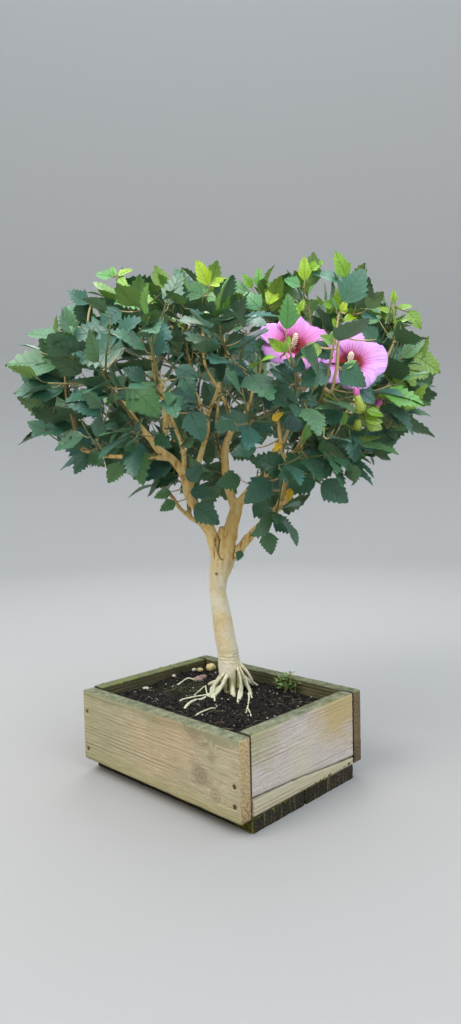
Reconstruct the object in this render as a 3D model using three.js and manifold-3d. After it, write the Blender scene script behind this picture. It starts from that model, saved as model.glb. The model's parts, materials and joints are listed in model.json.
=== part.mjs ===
// A rose-of-Sharon hibiscus grown as a small tree, in a planter box of weathered boards.
// Millimetres, +Z up. The origin is under the middle of the box, +X runs along the long front board.
import * as THREE from "three";
import { mergeVertices } from "three/addons/utils/BufferGeometryUtils.js";
import Module from "manifold-3d";

const wasm = await Module();
wasm.setup();

// Planter box: outer size, board thickness, and how high each side stands
const LENGTH = 306;
const WIDTH = 246;
const BOARD = 19;
const SIDE_HEIGHT = 99;
const FIT = 0.3; // what touching pieces keep between them
const LIMB_FIT = 0.35; // the same at a limb's corners, which leaves less at its flat sides
const FRONT_FOOT = 18; // lower edge of the front board
const BACK_FOOT = 19.6; // lower edge of the back board
const FLOOR_SLIT = { at: -4, width: 3, front: 2.5, ends: 1 }; // round the two floor boards and between them
const SHORT_FOOT = BOARD + FIT; // the short boards stand on the floor boards
const WORN = 1.4; // how far the top corners of the long boards are worn round
// The crack along the right board: its height at both ends, its ripple, and how far it gapes
const SPLIT = {
  front: 43, back: 31.5, shift: 2, mouth: 0.6, middle: 0.15, ripple: 1.2, ripples: 5, steps: 6,
};

// Nails: head and shank radius, head thickness, length, length of the point, depth under the wood, sides
const NAIL = { head: 3.4, shank: 1.5, cap: 1.1, length: 44, point: 4, sunk: 0.4, sides: 5 };

// Soil: height at the boards, the mound round the trunk, and two sets of small swells
const SOIL = { edge: 99, mound: 6, spread: 60, cells: [8, 7] };
const BROAD_SWELL = { height: 1.1, x: 0.071, shift: 1.3, y: 0.083 };
const SMALL_SWELL = { height: 0.7, x: 0.19, y: -0.16 };
const TRUNK_AT = new THREE.Vector2(-16, 42);
const CROWN_TURN = THREE.MathUtils.degToRad(43.8); // the crown's face turns to the front right corner
const HEART = [0, 0, 470]; // the crown's middle, which leaves grow away from

// Foliage: the blade's outline, its size and fold, and how far a test of its room widens it
const LEAF_EDGE = [[0.38, 0.36], [0.23, 0.53]]; // side lobe and notch, in blade lengths
const LEAF = {
  length: 62, vary: 0.28, thick: 1.4, ridge: 0.38, lift: 0.16, droop: 0.16,
  stalk: 14, stalkRadius: 0.75, stalkFoot: 0.6, keel: 1.5, widen: 1 / 12,
};
// How leaves grow: the swing round the twig, the stalk's way out and up the twig with what age takes from
// or adds to it, the lean from the crown's middle, sizes, the fall of old blades, and the face's sway
const GROWTH = {
  swing: 0.4, out: 0.85, outAge: 0.35, up: 0.5, upAge: 0.4, lean: 0.25, small: 0.28, shrink: 0.97,
  stalkShort: 0.7, stalkVary: 0.6, rise: 0.15, fall: 0.75, reach: 0.5, skyward: 0.5, sway: 0.6, tries: 12,
};
const TWIG = { base: 2.2, side: 1.9, tip: 1.2, sides: 3, steps: 3, sag: 0.06, fork: 0.12, bare: 0.12 };
const THIRD_TURN = (2 * Math.PI) / 3; // leaves stand in three ranks round a twig

// Flat sides of the wood: a limb is thick if it starts above a radius
const SIDES = { trunk: 10, thick: 6, thin: 5, root: 4, thickFrom: 6 };

// The trunk and limbs as points across the crown's face, away behind it and up, with the two end radii
const TRUNK = {
  points: [[1, 0, 62], [1, 0, 98], [0, 0, 113], [-2, 0, 134], [-4, 0, 158], [-9, 0, 190], [-14, 0, 228],
    [-17, 0, 252], [-14, 0, 272], [-11, 0, 290], [-8, 0, 306]],
  radii: [9, 11.5, 14.2, 16.8, 15.9, 14.8, 13, 11.9, 13.4, 15.8, 14],
};
const LIMBS = {
  left: { points: [[-12, 0, 280], [-20, -2, 312], [-26, -6, 340], [-36, -12, 363], [-53, -20, 388],
    [-60, -25, 419], [-76, -32, 442], [-94, -38, 456], [-104, -42, 471], [-118, -46, 488], [-132, -50, 511],
    [-146, -52, 545]], radii: [9, 3.4] },
  left_upper: { points: [[-92, -37, 455], [-84, -30, 483], [-86, -20, 520], [-97, -11, 552], [-102, -8, 583],
    [-118, -2, 615]], radii: [4.4, 2.3] },
  left_far: { points: [[-76, -32, 442], [-120, -36, 446], [-165, -34, 448], [-203, -30, 460]],
    radii: [3.8, 2.4] },
  left_low: { points: [[-20, -2, 318], [-38, 5, 346], [-56, 14, 358], [-72, 24, 372], [-84, 35, 390],
    [-112, 58, 416], [-150, 80, 440]], radii: [4.2, 2.4] },
  left_middle: { points: [[-54, -21, 396], [-44, -10, 426], [-33, 0, 459], [-26, 3, 490], [-35, 6, 520],
    [-47, 9, 550], [-53, 12, 595], [-76, 16, 636]], radii: [4.6, 2.2] },
  centre: { points: [[-8, 0, 285], [-2, 1, 306], [1, 3, 324], [6, 5, 347], [12, 8, 367], [15, 10, 383]],
    radii: [13, 8.5] },
  centre_left: { points: [[12, 8, 366], [1, 15, 403], [-2, 20, 433], [-1, 25, 460], [11, 30, 489]],
    radii: [7, 4.6] },
  middle_left: { points: [[11, 30, 488], [5, 30, 512], [-10, 27, 545], [-28, 22, 579], [-30, 15, 630]],
    radii: [3.6, 2.2] },
  middle_right: { points: [[11, 30, 488], [32, 38, 514], [42, 43, 545], [57, 50, 589], [58, 48, 625]],
    radii: [3.6, 2.2] },
  centre_right: { points: [[14, 9, 374], [40, 0, 403], [62, -10, 424], [83, -20, 440], [99, -25, 451],
    [110, -30, 475], [122, -36, 520], [126, -42, 570]], radii: [6.5, 2.4] },
  right: { points: [[-6, -1, 286], [10, -4, 305], [25, -12, 323], [40, -20, 339], [68, -34, 368],
    [92, -45, 395], [117, -55, 433], [149, -62, 475], [178, -60, 520]], radii: [8.4, 2.6] },
  right_upper: { points: [[92, -45, 395], [98, -60, 432], [106, -80, 472], [118, -105, 505]],
    radii: [3.6, 2.2] },
  right_far: { points: [[117, -55, 433], [160, -45, 440], [205, -30, 455], [235, -20, 490]],
    radii: [3.4, 2.2] },
  front_left: { points: [[-60, -25, 419], [-58, -65, 455], [-68, -105, 490], [-80, -135, 535]],
    radii: [4, 2.2] },
  front_middle: { points: [[-33, 0, 459], [-24, -45, 500], [-8, -95, 530], [4, -128, 570]],
    radii: [3.6, 2.2] },
  front_right: { points: [[68, -34, 368], [78, -78, 405], [72, -112, 450], [64, -128, 500]],
    radii: [4, 2.2] },
  back_left: { points: [[-56, 14, 358], [-62, 60, 405], [-80, 110, 460], [-95, 145, 520]],
    radii: [3.8, 2.3] },
  back_middle: { points: [[1, 15, 403], [-8, 65, 440], [-15, 115, 490], [-10, 150, 550]],
    radii: [4.6, 2.3] },
  back_right: { points: [[12, 8, 367], [45, 50, 405], [80, 95, 450], [110, 130, 510]], radii: [5, 2.3] },
  right_back: { points: [[99, -25, 451], [130, 20, 480], [165, 60, 520], [190, 80, 565]], radii: [3.2, 2.2] },
};
// Surface roots: the same kind of points, ending in the soil
const ROOTS = {
  left: { points: [[-6, 4, 134], [-17, 18, 118], [-25, 12, 107], [-30, -3, 104], [-24, -40, 100],
    [-16, -60, 88]], radii: [4.6, 1.9] },
  left_inner: { points: [[-7, -3, 130], [-12, -4, 114], [-21, -4, 106], [-27, -14, 100], [-31, -26, 88]],
    radii: [4.4, 2] },
  front: { points: [[0, -6, 128], [1, -14, 112], [2, -21, 102], [3, -27, 86]], radii: [5.6, 3.4] },
  right_inner: { points: [[8, -4, 128], [13, -8, 114], [13, -24, 105], [9, -46, 100], [6, -60, 88]],
    radii: [4, 1.7] },
  right: { points: [[9, 0, 130], [20, 6, 114], [25, -5, 106], [28, -20, 100], [30, -34, 88]],
    radii: [4.2, 1.9] },
  right_far: { points: [[10, 4, 128], [24, 20, 112], [34, 26, 104], [46, 28, 96], [56, 30, 86]],
    radii: [4.4, 1.9] },
  back_left: { points: [[-6, 8, 126], [-20, 26, 110], [-34, 40, 101], [-46, 50, 88]], radii: [4.8, 2.2] },
  back: { points: [[2, 9, 126], [4, 26, 109], [10, 42, 100], [14, 54, 88]], radii: [4.8, 2.2] },
};

// Each spray: the limb and the point it starts at, the tips its twigs reach, and the leaves on each twig
const SPRAYS = {
  far_left: { from: ["left_far", 3], tips: [[-224, -34, 592], [-254, -8, 508]], leaves: 5 },
  left_under: { from: ["left_far", 2], tips: [[-168, -98, 468], [-206, 34, 462]], leaves: 4 },
  left_end: { from: ["left", 11], tips: [[-192, -82, 594], [-236, -68, 546]], leaves: 4 },
  left_front: { from: ["left", 9], tips: [[-150, -146, 548], [-112, -134, 462]], leaves: 4 },
  left_top: { from: ["left_upper", 5], tips: [[-142, -18, 656], [-108, -98, 632]], leaves: 5 },
  left_top_back: { from: ["left_upper", 3], tips: [[-190, 44, 640], [-146, 116, 606]], leaves: 4 },
  left_low_end: { from: ["left_low", 6], tips: [[-232, 92, 512], [-176, 158, 524]], leaves: 4 },
  left_low_back: { from: ["left_low", 5], tips: [[-132, 136, 462], [-150, 0, 500]], leaves: 4 },
  left_low_drop: { from: ["left_low", 4], tips: [[-96, 4, 418]], leaves: 4 },
  middle_top: { from: ["left_middle", 7], tips: [[-80, 36, 668], [-34, 78, 672]], leaves: 4 },
  middle_front: { from: ["left_middle", 5], tips: [[-54, -74, 640], [-96, -66, 590]], leaves: 4 },
  heart_top: { from: ["middle_left", 4], tips: [[-20, -20, 658], [-4, -96, 626]], leaves: 4 },
  heart_back: { from: ["middle_left", 3], tips: [[-64, 118, 636], [4, 132, 652]], leaves: 4 },
  heart_right: { from: ["middle_right", 4], tips: [[52, 8, 656], [60, -66, 632]], leaves: 4 },
  heart_right_back: { from: ["middle_right", 3], tips: [[74, 112, 652], [120, 96, 596]], leaves: 4 },
  right_top: { from: ["centre_right", 7], tips: [[116, -40, 660], [148, -116, 620]], leaves: 4 },
  right_top_back: { from: ["centre_right", 6], tips: [[150, 46, 650], [196, 12, 566]], leaves: 4 },
  right_end: { from: ["right", 8], tips: [[172, -66, 652], [228, -34, 612], [222, -96, 556]], leaves: 4 },
  right_under: { from: ["right", 6], tips: [[158, -118, 446], [92, -146, 446]], leaves: 4 },
  right_drop: { from: ["right", 4], tips: [[66, -76, 368]], leaves: 4 },
  far_right: { from: ["right_far", 3], tips: [[254, -24, 560], [258, 48, 514]], leaves: 4 },
  far_right_low: { from: ["right_far", 2], tips: [[222, -84, 488], [222, 36, 466]], leaves: 4 },
  front_left: { from: ["front_left", 3], tips: [[-86, -206, 590], [-62, -204, 516]], leaves: 4 },
  front_middle: { from: ["front_middle", 3], tips: [[-6, -204, 598], [26, -208, 536]], leaves: 4 },
  back_left: { from: ["back_left", 3], tips: [[-112, 206, 572], [-62, 202, 502]], leaves: 4 },
  back_middle: { from: ["back_middle", 3], tips: [[-18, 216, 606], [40, 210, 544]], leaves: 4 },
  back_right: { from: ["back_right", 3], tips: [[136, 196, 562], [92, 176, 452]], leaves: 4 },
  right_back: { from: ["right_back", 3], tips: [[214, 128, 612], [232, 96, 508]], leaves: 4 },
  bloom_left: { from: ["front_right", 3], tips: [[72, -218, 566], [20, -184, 476]], leaves: 4,
    bend: [98, -196, 492] },
  bloom_right: { from: ["right_upper", 3], tips: [[132, -212, 596], [206, -140, 524]], leaves: 4,
    bend: [108, -228, 482] },
};

// Blooms: throat, facing, radius of the open petals, and the spray whose stalk carries them
const BLOOMS = {
  left: { throat: [83, -158, 566], facing: [0.12, -0.8, 0.56], on: "bloom_left" },
  right: { throat: [152, -160, 544], facing: [-0.06, -0.84, 0.5], on: "bloom_right" },
};
// One petal: how it cups, tilts and waves, and a grid of shares of its radius and of half its width
const PETAL = {
  count: 5, radius: 44, thick: 1.1, cup: 15, cupArc: 1.9, tilt: 4.5, tiltRise: 0.7, wave: 1.8, waves: 4,
  rounded: 0.12, columns: [-1, -0.4, 0.4, 1],
  rows: [[0.1, 0.3], [0.42, 0.8], [0.78, 0.88], [1, 0.6]], // share of the radius, and half the turn it spans
};
const HUB = { radius: 6, low: -1.5, high: 1.5, sides: 8 };
// The stamen column, as radii at shares of its length
const COLUMN = {
  length: 24, sides: 6,
  profile: [[2.2, 0], [1.8, 0.25], [4, 0.34], [2.8, 0.44], [4.6, 0.55], [3, 0.66], [4.2, 0.78], [2.4, 0.9],
    [0.9, 1]],
};
const CALYX = { depth: 13, foot: 2.6, belly: [6, 7], bellyAt: 0.55, rim: [6.4, 9.5], lobe: 4, seat: 4.8 };
const BLOOM_STALK = { radius: 1.6, sides: 5, inside: 3, behind: 9, share: 0.2 };
// Buds: foot, direction, length, the spray and the share of its first twig that carry them, if petals show
const BUDS = {
  pointed: { foot: [157, -204, 486], facing: [-0.25, -0.2, 0.95], length: 21, on: "bloom_right",
    share: 0.42, petals: true },
  small: { foot: [180, -150, 486], facing: [0.4, -0.4, 0.85], length: 15, on: "bloom_right",
    share: 0.06, petals: true },
  round: { foot: [160, -158, 470], facing: [0, -0.7, 0.7], length: 13, on: "bloom_right",
    share: 0.1, petals: false },
};
// A bud's calyx as radii at shares of its length, and the roll of petals at its tip the same way
const BUD = {
  sides: 6, calyx: [[1.6, 0], [5.2, 0.3], [4.7, 0.6], [2.7, 1]],
  petals: { length: 9, profile: [[3.4, 0], [3.9, 0.4], [0.9, 1]] },
};
const BUD_STALK = { radius: 1.2, sides: 4, inside: 2, behind: 8 };

// Small things on the soil: stones, and the weed seedling
const STONES = {
  stone_left: { at: [-129, 25], radius: 4.6, turn: 1.1 },
  stone_back: { at: [-45, 77], radius: 5.4, turn: 3.9 },
};
const STONE = { scale: [1.2, 0.9, 0.7], proud: 0.45 };
const WEED = {
  at: [59, 6], depth: 12, height: 15, stem: [1.2, 1.1, 0.9], sides: 3,
  leaves: 5, leaf: 16, turn: 2.4, apart: 2.2, rise: 0.35, stalk: 4,
};

const UP = new THREE.Vector3(0, 0, 1);
const FACE_RIGHT = new THREE.Vector3(Math.cos(CROWN_TURN), Math.sin(CROWN_TURN), 0);
const FACE_AWAY = new THREE.Vector3(-Math.sin(CROWN_TURN), Math.cos(CROWN_TURN), 0);

// A direction given across, away and up, in the planter's axes
function heading([across, away, up]) {
  return new THREE.Vector3(0, 0, up).addScaledVector(FACE_RIGHT, across).addScaledVector(FACE_AWAY, away);
}

// A point given across, away and up from the trunk, in the planter's axes
function place(point) {
  return heading(point).add(new THREE.Vector3(TRUNK_AT.x, TRUNK_AT.y, 0));
}

// Evenly spread draws from a seed, the same in every run
function drawer(seed) {
  let state = seed >>> 0;
  const draw = () => {
    state = (Math.imul(state, 1664525) + 1013904223) >>> 0;
    return state / 2 ** 32;
  };
  for (let i = 0; i < 4; i++) draw();
  return draw;
}

// A closed solid from points and triangles, turned right side out
function closed(points, faces) {
  const vertProperties = new Float32Array(points.flatMap((p) => [p.x, p.y, p.z]));
  const made = (list) =>
    new wasm.Manifold(new wasm.Mesh({ numProp: 3, vertProperties, triVerts: new Uint32Array(list.flat()) }));
  const solid = made(faces);
  return solid.volume() > 0 ? solid : made(faces.map(([a, b, c]) => [a, c, b]));
}

// A closed solid from a three.js geometry
function solidOf(geometry) {
  geometry.deleteAttribute("normal");
  geometry.deleteAttribute("uv");
  const merged = mergeVertices(geometry, 1e-4);
  const at = merged.attributes.position;
  const points = Array.from({ length: at.count }, (_, i) => new THREE.Vector3().fromBufferAttribute(at, i));
  const index = merged.index.array;
  const faces = Array.from({ length: index.length / 3 }, (_, i) => [...index.slice(3 * i, 3 * i + 3)]);
  return closed(points, faces.filter(([a, b, c]) => a !== b && b !== c && c !== a));
}

// A named mesh from a solid
function meshOf(name, solid, color, roughness = 0.85) {
  const { vertProperties, triVerts, numProp } = solid.getMesh();
  const position = new Float32Array((vertProperties.length / numProp) * 3);
  for (let i = 0; i < position.length / 3; i++) {
    position.set(vertProperties.subarray(i * numProp, i * numProp + 3), i * 3);
  }
  const geometry = new THREE.BufferGeometry();
  geometry.setAttribute("position", new THREE.BufferAttribute(position, 3));
  geometry.setIndex(new THREE.BufferAttribute(new Uint32Array(triVerts), 1));
  const mesh = new THREE.Mesh(geometry, new THREE.MeshStandardMaterial({ color, roughness, metalness: 0 }));
  mesh.name = name;
  return mesh;
}

// Rings of equal count joined into a closed solid, each end closed round its middle
function loft(rings) {
  const n = rings[0].length;
  const points = rings.flat();
  const faces = [];
  for (let i = 0; i + 1 < rings.length; i++) {
    for (let j = 0; j < n; j++) {
      const a = i * n + j;
      const b = i * n + ((j + 1) % n);
      faces.push([a, b, b + n], [a, b + n, a + n]);
    }
  }
  const last = (rings.length - 1) * n;
  const middle = (ring) => ring.reduce((sum, p) => sum.add(p), new THREE.Vector3()).divideScalar(n);
  points.push(middle(rings[0]), middle(rings.at(-1)));
  for (let j = 0; j < n; j++) {
    const next = (j + 1) % n;
    faces.push([points.length - 2, next, j], [points.length - 1, last + j, last + next]);
  }
  return closed(points, faces);
}

// Any unit vector square to a direction, the same one for the same direction
function squareTo(along) {
  const other = Math.abs(along.z) < 0.9 ? UP : new THREE.Vector3(1, 0, 0);
  return other.clone().cross(along).normalize();
}

// A tube of flat faces through points, with a radius for each
function tube(points, radii, sides) {
  let across = null;
  const rings = points.map((point, i) => {
    const ahead = points[Math.min(i + 1, points.length - 1)];
    const along = ahead.clone().sub(points[Math.max(i - 1, 0)]).normalize();
    across = (across ?? squareTo(along)).clone();
    across.addScaledVector(along, -across.dot(along)).normalize();
    const over = along.clone().cross(across);
    return Array.from({ length: sides }, (_, j) => {
      const turn = (2 * Math.PI * j) / sides;
      return point.clone().addScaledVector(across, radii[i] * Math.cos(turn))
        .addScaledVector(over, radii[i] * Math.sin(turn));
    });
  });
  return loft(rings);
}

// Two end radii spread over a number of points
function taper([first, last], count) {
  return Array.from({ length: count }, (_, i) => first + ((last - first) * i) / (count - 1));
}

// The points of a curve from start to tip that bulges towards a bend, by the quadratic rule
function bow(start, bend, tip, steps) {
  const curve = new THREE.QuadraticBezierCurve3(start, bend, tip);
  return Array.from({ length: steps + 1 }, (_, i) => curve.getPoint(i / steps));
}

const joined = (solids) => solids.reduce((sum, solid) => sum.add(solid));

// The largest single body of a solid that a cut may have left in several
function largest(solid) {
  return solid.decompose().reduce((best, body) => (body.volume() > best.volume() ? body : best));
}

// Boards. Each outline lies in a plane, and the board is as thick as it is extruded.
function extruded(outline, depth) {
  const shape = new THREE.Shape(outline.map(([x, y]) => new THREE.Vector2(x, y)));
  return new THREE.ExtrudeGeometry(shape, { depth, bevelEnabled: false });
}

const INNER_X = LENGTH / 2 - BOARD;
const INNER_Y = WIDTH / 2 - BOARD;

// A long board, standing with its ends showing; side is -1 at the front and 1 at the back
function longBoard(side, foot) {
  const half = LENGTH / 2;
  const top = foot + SIDE_HEIGHT;
  const outline = [[-half, foot], [half, foot], [half, top - WORN], [half - WORN, top], [-half + WORN, top],
    [-half, top - WORN]];
  const board = extruded(outline, BOARD);
  board.rotateX(Math.PI / 2);
  board.translate(0, side > 0 ? WIDTH / 2 : -WIDTH / 2 + BOARD, 0);
  return solidOf(board);
}

// A board between the long ones, from its outline in depth and height; side is -1 at the left, 1 at the right
function shortBoard(outline, side) {
  const board = extruded(outline, BOARD);
  board.rotateX(Math.PI / 2);
  board.rotateZ(Math.PI / 2);
  board.translate(side > 0 ? LENGTH / 2 - BOARD : -LENGTH / 2, 0, 0);
  return solidOf(board);
}

// The crack that runs along the right board: its height, lower to the back, and how far it gapes
function crack(y) {
  const along = (y + INNER_Y) / (2 * INNER_Y);
  const straight = THREE.MathUtils.lerp(SPLIT.front, SPLIT.back, along);
  const gape = THREE.MathUtils.lerp(SPLIT.middle, SPLIT.mouth, (2 * along - 1) ** 2);
  return { height: straight + SPLIT.ripple * Math.sin(SPLIT.ripples * along), gape };
}

function shortBoards() {
  const reach = INNER_Y - FIT;
  const top = SHORT_FOOT + SIDE_HEIGHT;
  const stations = Array.from({ length: SPLIT.steps + 1 }, (_, i) =>
    THREE.MathUtils.lerp(-reach, reach, i / SPLIT.steps));
  const upperEdge = stations.map((y) => [y, crack(y).height + crack(y).gape]);
  const lowerEdge = stations.map((y) => [y, crack(y).height - crack(y).gape]);
  const slip = ([y, z]) => [Math.min(y + SPLIT.shift, reach), z];
  const strip = [...lowerEdge.map(slip), [reach, SHORT_FOOT], [-reach + SPLIT.shift, SHORT_FOOT]];
  return {
    left_board: shortBoard([[-reach, SHORT_FOOT], [reach, SHORT_FOOT], [reach, top], [-reach, top]], -1),
    right_board: shortBoard([...upperEdge, [reach, top], [-reach, top]], 1),
    right_board_strip: shortBoard(strip, 1),
  };
}

function floorBoards() {
  const half = LENGTH / 2 - FLOOR_SLIT.ends;
  const slit = FLOOR_SLIT.width / 2;
  const board = (low, high) => {
    const plank = new THREE.BoxGeometry(2 * half, high - low, BOARD);
    plank.translate(0, (low + high) / 2, BOARD / 2);
    return solidOf(plank);
  };
  return {
    floor_board_front: board(-INNER_Y + FLOOR_SLIT.front, FLOOR_SLIT.at - slit),
    floor_board_back: board(FLOOR_SLIT.at + slit, INNER_Y - FIT),
  };
}

// Nails: where each head is, and which way it was driven
function nailPlaces() {
  const x = LENGTH / 2 - BOARD / 2;
  const sunk = NAIL.cap + NAIL.sunk;
  const y = WIDTH / 2 - sunk;
  const corner = (name, sx, sy, z) => ({ name, at: new THREE.Vector3(sx * x, sy * y, z), into: [0, -sy, 0] });
  const under = (name, sx, py) => ({ name, at: new THREE.Vector3(sx * x, py, sunk), into: [0, 0, 1] });
  return [
    corner("nail_front_right_upper", 1, -1, 61), corner("nail_front_right_lower", 1, -1, 37),
    corner("nail_front_left_upper", -1, -1, 88), corner("nail_front_left_lower", -1, -1, 34),
    corner("nail_back_right_upper", 1, 1, 92), corner("nail_back_right_lower", 1, 1, 26),
    corner("nail_back_left_upper", -1, 1, 90), corner("nail_back_left_lower", -1, 1, 40),
    under("nail_floor_front_right", 1, -56), under("nail_floor_front_left", -1, -52),
    under("nail_floor_back_right", 1, 54), under("nail_floor_back_left", -1, 50),
  ];
}

// A nail turned round its axis; grow makes the hole that it fits, open outwards past the head
function nail({ at, into }, grow) {
  const { head, shank, cap, length, point, sides } = NAIL;
  const outer = grow ? -cap - BOARD / 3 : -cap;
  const profile = [[0, outer], [head + grow, outer], [head + grow, grow], [shank + grow, grow],
    [shank + grow, length - point], [0, length + 2 * grow]];
  const turned = new THREE.LatheGeometry(profile.map(([r, h]) => new THREE.Vector2(r, h)), sides);
  turned.applyQuaternion(new THREE.Quaternion().setFromUnitVectors(new THREE.Vector3(0, 1, 0),
    new THREE.Vector3(...into)));
  turned.translate(at.x, at.y, at.z);
  return solidOf(turned);
}

// Height of the soil: a mound round the trunk, low at the boards, uneven all over
function soilHeight(x, y) {
  const away = Math.hypot(x - TRUNK_AT.x, y - TRUNK_AT.y) / SOIL.spread;
  const broad = Math.sin(BROAD_SWELL.x * x + BROAD_SWELL.shift) * Math.cos(BROAD_SWELL.y * y);
  const small = Math.sin(SMALL_SWELL.x * x + SMALL_SWELL.y * y);
  return SOIL.edge + SOIL.mound * Math.exp(-away * away) + BROAD_SWELL.height * broad +
    SMALL_SWELL.height * small;
}

function soilSolid() {
  const low = BOARD + FIT;
  const [length, width] = [2 * (INNER_X - FIT), 2 * (INNER_Y - FIT)];
  const block = new THREE.BoxGeometry(length, width, SOIL.edge - low, ...SOIL.cells);
  block.translate(0, 0, (SOIL.edge + low) / 2);
  const at = block.attributes.position;
  for (let i = 0; i < at.count; i++) {
    if (at.getZ(i) > SOIL.edge - 1) at.setZ(i, soilHeight(at.getX(i), at.getY(i)));
  }
  return solidOf(block);
}

// The tree's wood. grow thickens it, for what has to stay clear of it.
const limbTube = ({ points, radii }, sides, grow) =>
  tube(points.map(place), taper(radii, points.length).map((r) => r + grow), sides);

function trunkSolid(grow) {
  return tube(TRUNK.points.map(place), TRUNK.radii.map((r) => r + grow), SIDES.trunk);
}

function crownWood(grow) {
  const limbs = Object.values(LIMBS).map((limb) =>
    limbTube(limb, limb.radii[0] > SIDES.thickFrom ? SIDES.thick : SIDES.thin, grow));
  return joined([trunkSolid(grow), ...limbs]);
}

function rootWood(grow) {
  return joined([trunkSolid(grow), ...Object.values(ROOTS).map((root) => limbTube(root, SIDES.root, grow))]);
}

// One leaf: a blade folded along its midrib on a three-sided stalk. grow thickens it, for a test of its room.
function leafSolid({ root, neck, across, along, normal, length }, grow) {
  const edge = 1 + grow * LEAF.widen;
  const onBlade = (x, y, z) => {
    const sag = LEAF.lift * Math.abs(x) - LEAF.droop * y * y;
    return neck.clone().addScaledVector(across, x * length * edge).addScaledVector(along, y * length * edge)
      .addScaledVector(normal, sag * length + z);
  };
  const stalk = LEAF.stalkRadius + grow;
  const round = (centre, size) => [
    centre.clone().addScaledVector(across, size),
    centre.clone().addScaledVector(across, -size),
    centre.clone().addScaledVector(normal, -LEAF.keel * size),
  ];
  const half = LEAF.thick / 2 + grow;
  const left = LEAF_EDGE.map(([x, y]) => onBlade(-x, y, 0));
  const right = LEAF_EDGE.map(([x, y]) => onBlade(x, y, 0));
  const points = [...round(root, LEAF.stalkFoot * stalk), ...round(neck, stalk), ...right, onBlade(0, 1, 0),
    ...left.reverse(), onBlade(0, LEAF.ridge, half), onBlade(0, LEAF.ridge, -half)];
  const count = LEAF_EDGE.length;
  const loop = [3, ...Array.from({ length: 2 * count + 1 }, (_, i) => 6 + i), 4];
  const top = points.length - 2;
  const under = points.length - 1;
  const faces = [[0, 1, 2], [3, 4, 1], [3, 1, 0], [4, 5, 2], [4, 2, 1], [5, 3, 0], [5, 0, 2],
    [top, 4, 3], [under, 5, 4], [under, 3, 5]];
  for (let i = 0; i + 1 < loop.length; i++) {
    faces.push([top, loop[i], loop[i + 1]], [under, loop[i + 1], loop[i]]);
  }
  return closed(points, faces);
}

// Where a leaf of a spray grows, by a rule with seeded draws; a later try turns it further round its twig
function leafPose(spray, index, attempt) {
  const draw = drawer(1 + spray.seed * 6007 + index * 131 + attempt * 17);
  const twig = spray.twigs[index % spray.twigs.length];
  const order = Math.floor(index / spray.twigs.length);
  const perTwig = Math.ceil(spray.leaves / spray.twigs.length);
  const t = THREE.MathUtils.lerp(TWIG.bare, 1, (order + 1) / perTwig);
  const { point: root, along } = onTwig(twig, t);
  const side = squareTo(onTwig(twig, 0).along);
  side.addScaledVector(along, -side.dot(along)).normalize();
  const over = along.clone().cross(side);
  const grow = GROWTH;
  const turn = THIRD_TURN * (order + attempt + 0.5) + grow.swing * (draw() - 0.5);
  const radial = side.multiplyScalar(Math.cos(turn)).addScaledVector(over, Math.sin(turn));
  const outward = root.clone().sub(place(HEART)).normalize();
  const young = t ** 3;
  const stem = radial.multiplyScalar(grow.out - grow.outAge * young)
    .addScaledVector(along, grow.up + grow.upAge * young).addScaledVector(outward, grow.lean).normalize();
  const length = LEAF.length * (1 - grow.small * young) * (1 - LEAF.vary * draw()) * grow.shrink ** attempt;
  const neck = root.clone().addScaledVector(stem, LEAF.stalk * (grow.stalkShort + grow.stalkVary * draw()));
  const fall = grow.rise - grow.fall * draw() * (1 - young);
  const down = stem.clone().addScaledVector(outward, grow.reach).addScaledVector(UP, fall).normalize();
  const sway = new THREE.Vector3(draw() - 0.5, draw() - 0.5, draw() - 0.5).multiplyScalar(grow.sway);
  const facing = outward.clone().addScaledVector(UP, grow.skyward).add(sway);
  const across = down.clone().cross(facing).normalize();
  const normal = across.clone().cross(down);
  return { root, neck, across, along: down, normal, length };
}

// What has been placed, each with its box, so that new pieces can be tested against it
class Placed {
  constructor() {
    this.items = [];
  }

  add(solid, owner = "") {
    this.items.push({ solid, owner, box: Placed.boxOf(solid) });
  }

  static boxOf(solid) {
    const { min, max } = solid.boundingBox();
    return new THREE.Box3(new THREE.Vector3(...min), new THREE.Vector3(...max));
  }

  // Whether a solid meets anything here, apart from what one owner placed
  meets(solid, except = "none") {
    const box = Placed.boxOf(solid);
    return this.items.some((item) => item.owner !== except && item.box.intersectsBox(box) &&
      !item.solid.intersect(solid).isEmpty());
  }
}

// A twig's points, from its start to its tip, spreading before it rises unless its bend is given
function twigPoints(start, tip, bend) {
  const sagged = start.clone().lerp(tip, 0.5).addScaledVector(UP, -TWIG.sag * start.distanceTo(tip));
  return bow(start, bend ?? sagged, tip, TWIG.steps);
}

// A point on a twig and the direction there, from the share of its length
function onTwig({ points }, share) {
  const leg = Math.min(Math.floor(share * TWIG.steps), TWIG.steps - 1);
  const [a, b] = [points[leg], points[leg + 1]];
  return { point: a.clone().lerp(b, share * TWIG.steps - leg), along: b.clone().sub(a).normalize() };
}

const twigSolid = ({ points, radii }, grow) =>
  tube(points, taper(radii, points.length).map((r) => r + grow), TWIG.sides);

// The twigs of a spray: the first starts at its limb, and the others leave the first near its foot
function sprayOf(name, { from: [limb, at], tips, leaves, bend }, seed) {
  const twigs = [];
  tips.map(place).forEach((tip, i) => {
    const start = i ? onTwig(twigs[0], TWIG.fork).point : place(LIMBS[limb].points[at]);
    const points = twigPoints(start, tip, bend && !i ? place(bend) : null);
    twigs.push({ points, radii: [i ? TWIG.side : TWIG.base, TWIG.tip] });
  });
  return { name, seed, twigs, leaves: leaves * tips.length };
}

// A bloom's own axes: its face, and two directions square to it
function bloomAxes({ throat, facing }) {
  const out = heading(facing).normalize();
  const side = squareTo(out);
  return { centre: place(throat), out, side, over: out.clone().cross(side) };
}

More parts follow.
